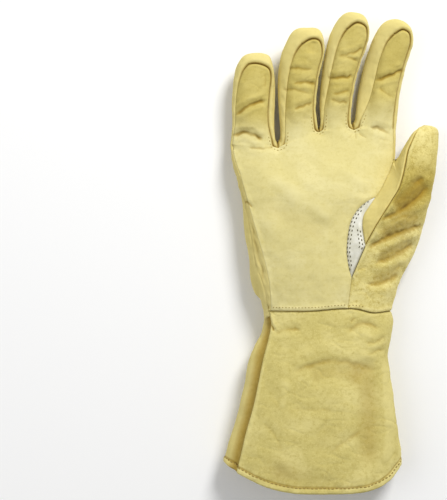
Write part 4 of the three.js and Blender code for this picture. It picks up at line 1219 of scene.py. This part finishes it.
def capsule():
    """A stitch 2 long and 2 wide along x, as rings of radius sin(a)^0.6 at -cos(a): points and faces."""
    sides, rings = 6, 3
    a = np.repeat(np.arange(1, rings + 1), sides) * math.pi / (rings + 1)
    turn = np.tile(np.arange(sides), rings) * 2 * math.pi / sides
    radius = np.sin(a) ** 0.6
    middle = np.column_stack([-np.cos(a), radius * np.cos(turn), radius * np.sin(turn)])
    k = np.arange(sides)
    after = (k + 1) % sides
    last = rings * sides + 1
    faces = [(0 * k, 1 + after, 1 + k), (last + 0 * k, last - sides + k, last - sides + after)]
    for low in range(1, last - sides, sides):
        high = low + sides
        faces += [(low + k, low + after, high + after), (low + k, high + after, high + k)]
    points = np.vstack([(-1, 0, 0), middle, (1, 0, 0)])
    return points, np.concatenate([np.stack(corners, 1) for corners in faces])


def stitches(line, normal, pitch, length, width, sink):
    """Capsules in a row along a line, sunk into the cloth."""
    reach = reach_along(line)
    places = np.arange(pitch / 2, reach[-1] - pitch / 3, pitch)
    forward = unit(at_reach(line, reach, places + 0.3) - at_reach(line, reach, places - 0.3))
    up = at_reach(normal, reach, places)
    up = unit(up - forward * np.sum(up * forward, axis=1, keepdims=True))
    axes = np.stack([forward, np.cross(up, forward), up], axis=1)
    shape, faces = capsule()
    shape = shape * (length / 2, width / 2, width / 2) - (0, 0, sink)
    points = at_reach(line, reach, places)[:, None] + shape @ axes
    points[..., 2] -= np.minimum(points[..., 2].min(axis=1, keepdims=True), 0)
    starts = np.arange(len(places)) * len(shape)
    return points.reshape(-1, 3), (faces[None] + starts[:, None, None]).reshape(-1, 3)


def add_stitches(name, rows, size, material):
    """Several rows of stitches as one piece. size is pitch, length, width and how far they are sunk in."""
    points, faces, start = [], [], 0
    for line, normal in rows:
        some_points, some_faces = stitches(line, normal, *size)
        points.append(some_points)
        faces.append(some_faces + start)
        start += len(some_points)
    add_piece(name, np.concatenate(points), np.concatenate(faces), material)


# Materials

class Socket:
    """An output of a node, which can be added, taken from a number and multiplied."""

    def __init__(self, shader, output):
        self.shader = shader
        self.output = output

    def maths(self, operation, first, second):
        return self.shader.node("ShaderNodeMath", {"operation": operation}, {0: first, 1: second})

    def __add__(self, other):
        return self.maths("ADD", self, other)

    def __rsub__(self, other):
        return self.maths("SUBTRACT", other, self)

    def __mul__(self, other):
        return self.maths("MULTIPLY", self, other)

    def between(self, low, high):
        """0 below low, 1 above high and smooth between them."""
        settings = {"interpolation_type": "SMOOTHSTEP"}
        return self.shader.node("ShaderNodeMapRange", settings, {0: self, 1: low, 2: high})


class Shader:
    """A material's node tree. Every node comes from one method."""

    def __init__(self, name):
        self.material = bpy.data.materials.new(name)
        self.material.use_nodes = True
        self.tree = self.material.node_tree
        self.place = self.node("ShaderNodeTexCoord", {}, {}, "Object")

    def node(self, kind, settings, values, output=0):
        """Makes a node, sets its settings, then the values or links of its sockets, and gives one output."""
        made = self.tree.nodes.new(kind)
        for name, value in settings.items():
            setattr(made, name, value)
        self.fill(made, values)
        return Socket(self, made.outputs[output])

    def fill(self, node, values):
        for name, value in values.items():
            if isinstance(value, Socket):
                self.tree.links.new(value.output, node.inputs[name])
            else:
                node.inputs[name].default_value = value

    def finish(self, **values):
        """Sets values or links of the main shader by name, with _ for a space, and gives the material."""
        values = {name.replace("_", " "): value for name, value in values.items()}
        self.fill(self.tree.nodes["Principled BSDF"], values)
        return self.material

    def attribute(self, name):
        return self.node("ShaderNodeAttribute", {"attribute_name": name}, {}, "Fac")

    def noise(self, scale, detail, roughness=0.55, stretch=(1, 1, 1)):
        """Fractal noise on the piece's own place, which a low stretch draws out along that axis."""
        place = self.node("ShaderNodeVectorMath", {"operation": "MULTIPLY"}, {0: self.place, 1: stretch})
        return self.node("ShaderNodeTexNoise", {}, {
            "Vector": place, "Scale": scale, "Detail": detail, "Roughness": roughness})

    def weave(self, scale):
        """Product of two crossed sine patterns, as a fine plain weave."""
        values = {"Vector": self.place, "Scale": scale, "Distortion": 1.2}
        waves_x = self.node("ShaderNodeTexWave", {"bands_direction": "X"}, values, "Fac")
        waves_y = self.node("ShaderNodeTexWave", {"bands_direction": "Y"}, values, "Fac")
        return waves_x * waves_y

    def blend(self, first, second, amount):
        """Colour that goes from the first to the second as the amount goes from 0 to 1."""
        return self.node("ShaderNodeMix", {"data_type": "RGBA"}, {"Factor": amount, 6: first, 7: second}, 2)

    def bump(self, height, distance, strength, under=None):
        values = {"Height": height, "Distance": distance, "Strength": strength}
        if under is not None:
            values["Normal"] = under
        return self.node("ShaderNodeBump", {}, values)


def cloth(name, hand, finger, nap, weave, sheen=0.15):
    """Pale dyed cloth, from the tones of the hand to those of the fingers, given as light, mid and dark; the
    finger tones are painted shade. It is mottled by the nap, has painted shade in seams, folds and dents,
    and a painted highlight where it stands proud."""
    shader = Shader(name)
    up = shader.attribute("up_finger")
    stain = shader.attribute("stain")
    light, mid, dark = (shader.blend(low, high, up) for low, high in zip(hand, finger))
    mottle = shader.noise(MOTTLE_SCALE, 5, 0.7)
    fine = shader.noise(FINE_SCALE, 3, 0.65)
    colour = mid
    for tone, pattern, low, high, amount in (
        (light, shader.noise(BROAD_SCALE, 3), 0.42, 0.7, 0.7),
        (dark, shader.noise(STREAK_SCALE, 4, 0.6, (0.3, 1, 1)), 0.5, 0.72, nap * 0.5),
        (dark, mottle, 0.45, 0.72, nap),
        (light, fine, 0.5, 0.72, nap * 0.85),
        # Painted highlight where the cloth stands proud
        (light, shader.attribute("raised"), 0.15, 0.9, 0.5),
        # Painted shade in seams, folds and dents, and a deeper painted shadow where it is strongest, at
        # fingertip seams
        (FOLD_SHADE_COLOUR, stain, -0.25, 1, (mottle * 0.3 + 0.68) * stain.between(0, 0.4)),
        (DEEP_SHADOW_COLOUR, stain, 0.9, 1.4, 0.8),
    ):
        colour = shader.blend(colour, tone, pattern.between(low, high) * amount)
    normal = shader.bump(mottle * 0.6 + fine * 0.4, 0.0006 * nap, 0.6)
    normal = shader.bump(shader.weave(WEAVE_SCALE), 0.00015, weave, normal)
    return shader.finish(
        Base_Color=colour, Roughness=0.95 - mottle * 0.1, Normal=normal, Specular_IOR_Level=0.15,
        Sheen_Weight=sheen, Sheen_Roughness=0.6, Sheen_Tint=hand[0])


def leather(name):
    """Grey-white split leather: pebbled, with soft darker patches."""
    shader = Shader(name)
    patches = shader.noise(110, 4)
    grain = shader.noise(1300, 4, 0.7)
    colour = shader.blend((0.66, 0.645, 0.53, 1), (0.77, 0.76, 0.67, 1), patches.between(0.35, 0.65))
    colour = shader.blend(colour, (0.4, 0.385, 0.3, 1), grain.between(0.55, 0.8) * 0.4)
    # Painted shade in the patch's seams, folds and dents
    colour = shader.blend(colour, (0.2, 0.18, 0.1, 1), shader.attribute("stain") * 0.9)
    return shader.finish(
        Base_Color=colour, Roughness=0.85 - grain * 0.15, Normal=shader.bump(grain, 0.0004, 0.6),
        Specular_IOR_Level=0.25)


def thread(name, light, dark):
    """Twisted thread, with a painted highlight on top of its twist and painted shade between."""
    shader = Shader(name)
    twist = shader.noise(2200, 2)
    colour = shader.blend(dark, light, twist.between(0.35, 0.65))
    return shader.finish(Base_Color=colour, Roughness=0.8 - twist * 0.1)


# Sizes of the cloth's patterns: the larger, the finer
BROAD_SCALE = 34
MOTTLE_SCALE = 380
FINE_SCALE = 900
STREAK_SCALE = 420
WEAVE_SCALE = 340

# Painted shade colours of folds and of seams at fingertips, then light, mid and dark tones of each cloth
FOLD_SHADE_COLOUR = (0.31, 0.19, 0.015, 1)
DEEP_SHADOW_COLOUR = (0.12, 0.065, 0.006, 1)
PALM_TONES = ((0.74, 0.665, 0.33, 1), (0.665, 0.585, 0.25, 1), (0.54, 0.455, 0.15, 1))
# The finger tones and the thumb's shade tones are darker as painted shade
FINGER_SHADED_TONES = ((0.64, 0.54, 0.185, 1), (0.54, 0.44, 0.12, 1), (0.4, 0.305, 0.062, 1))
SIDE_TONES = ((0.72, 0.62, 0.26, 1), (0.66, 0.555, 0.2, 1), (0.54, 0.43, 0.12, 1))
BACK_TONES = ((0.74, 0.64, 0.27, 1), (0.68, 0.575, 0.21, 1), (0.56, 0.45, 0.13, 1))
SUEDE_TONES = ((0.82, 0.73, 0.34, 1), (0.68, 0.58, 0.2, 1), (0.5, 0.39, 0.09, 1))
THUMB_SHADE_TONES = ((0.56, 0.46, 0.12, 1), (0.4, 0.305, 0.055, 1), (0.28, 0.2, 0.026, 1))
CUFF_TONES = ((0.73, 0.64, 0.265, 1), (0.585, 0.5, 0.17, 1), (0.44, 0.355, 0.09, 1))
PALM_CLOTH = cloth("palm_cloth", PALM_TONES, FINGER_SHADED_TONES, 0.4, 0.25)
BACK_CLOTH = cloth("back_cloth", BACK_TONES, BACK_TONES, 0.2, 0.5)
SIDE_CLOTH = cloth("side_cloth", SIDE_TONES, BACK_TONES, 0.2, 0.5)
THUMB_SUEDE = cloth("thumb_suede", SUEDE_TONES, THUMB_SHADE_TONES, 0.95, 0.05, 0.35)
CUFF_CLOTH = cloth("cuff_cloth", CUFF_TONES, CUFF_TONES, 0.6, 0.15)
PATCH_LEATHER = leather("patch_leather")
DARK_THREAD = thread("dark_thread", (0.16, 0.14, 0.07, 1), (0.07, 0.06, 0.03, 1))
GOLD_THREAD = thread("gold_thread", (0.5, 0.38, 0.1, 1), (0.3, 0.21, 0.04, 1))
BROWN_THREAD = thread("brown_thread", (0.4, 0.29, 0.07, 1), (0.22, 0.14, 0.025, 1))

# The cloth of each piece, then the stitches: their distance from an edge and the part of it that they follow
FINISHES = {
    "palm_panel": (PALM_CLOTH, "palm_cloth"),
    "back_panel": (BACK_CLOTH, "back_cloth"),
    "thumb_back": (THUMB_SUEDE, "thumb_suede"),
    "thumb_patch": (PATCH_LEATHER, "patch_leather"),
    "cuff_front": (CUFF_CLOTH, "cuff_cloth"),
}
for skin in skins:
    skin.measure(rim_places, rim_normals)
    shape_cloth(skin)
    add_cloth(skin, *FINISHES.get(skin.name, (SIDE_CLOTH, "side_cloth")))

add_stitches("patch_stitches", [
    inset_run(patch_skin, 0, "left", 0.9, 0.08, 0.95),
    inset_run(patch_skin, 0, "left", 3.1, 0.2, 0.9),
    inset_run(patch_skin, 0, "right", 2.2, 0.42, 0.7),
    inset_run(patch_skin, 0, "right", 4.4, 0.42, 0.66),
], (3.2, 1.8, 1, 0.12), DARK_THREAD)
add_stitches("wrist_stitches", [
    inset_run(palm_skin, 0, "bottom", WRIST_STITCH_INSET, 0.02, 1),
    inset_run(thumb_skin, 0, "bottom", WRIST_STITCH_INSET, 0, 0.3),
], (2.4, 1.3, 0.85, 0.2), BROWN_THREAD)
add_stitches("hem_stitches", [
    inset_run(cuff_skin, 0, "bottom", HEM_STITCH_INSET + 0.4),
    inset_run(back_skin, 1, "bottom", HEM_STITCH_INSET + 0.4),
], (3, 2.2, 1.1, 0.12), BROWN_THREAD)

crotch_rows = []
for left, right in zip(lines, lines[1:]):
    seam = joined(left["front"][-CROTCH_STITCH_ROWS:], right["front"][:CROTCH_STITCH_ROWS])[:, :2]
    way = np.gradient(seam, axis=0)
    outwards = unit(np.stack([way[:, 1], -way[:, 0]], axis=1))
    crotch_rows.append(draped(palm_skin, seam + outwards * CROTCH_STITCH_INSET))
add_stitches("crotch_stitches", crotch_rows, (2.6, 1.5, 0.8, 0.15), GOLD_THREAD)

# Stage, lights and camera. The floor lies a little below the glove.
floor_mesh = bpy.data.meshes.new("floor")
floor_mesh.from_pydata([(-3, -3, 0), (3, -3, 0), (3, 3, 0), (-3, 3, 0)], [], [(0, 1, 2, 3)])
floor_mesh.materials.append(Shader("floor_paper").finish(Base_Color=(0.93, 0.93, 0.925, 1), Roughness=0.9))
floor = add_object("floor", floor_mesh)
floor.location.z = -0.0002


def area_light(name, place, size, power):
    """Round lamp at a place in metres that shines at the origin."""
    data = bpy.data.lights.new(name, "AREA")
    data.shape = "DISK"
    data.size = size
    data.energy = power
    lamp = add_object(name, data)
    lamp.location = place
    lamp.rotation_euler = (-Vector(place)).to_track_quat("-Z", "Y").to_euler()


area_light("key", (0.54, 1.06, 1.07), 0.6, 22.5)
area_light("fill", (-1.2, -0.1, 1.2), 1.4, 7)
world = bpy.data.worlds.new("studio")
world.use_nodes = True
world.node_tree.nodes["Background"].inputs["Color"].default_value = (1, 1, 1, 1)
world.node_tree.nodes["Background"].inputs["Strength"].default_value = 0.36
bpy.context.scene.world = world
bpy.context.scene.view_settings.view_transform = "Standard"

camera_data = bpy.data.cameras.new("camera")
camera_data.lens = 100
camera_data.sensor_width = 36
camera_data.sensor_fit = "VERTICAL"
camera_data.sensor_height = 36
camera = add_object("camera", camera_data)
camera.location = (-0.0794, 0.0003, 1.046)
bpy.context.scene.camera = camera
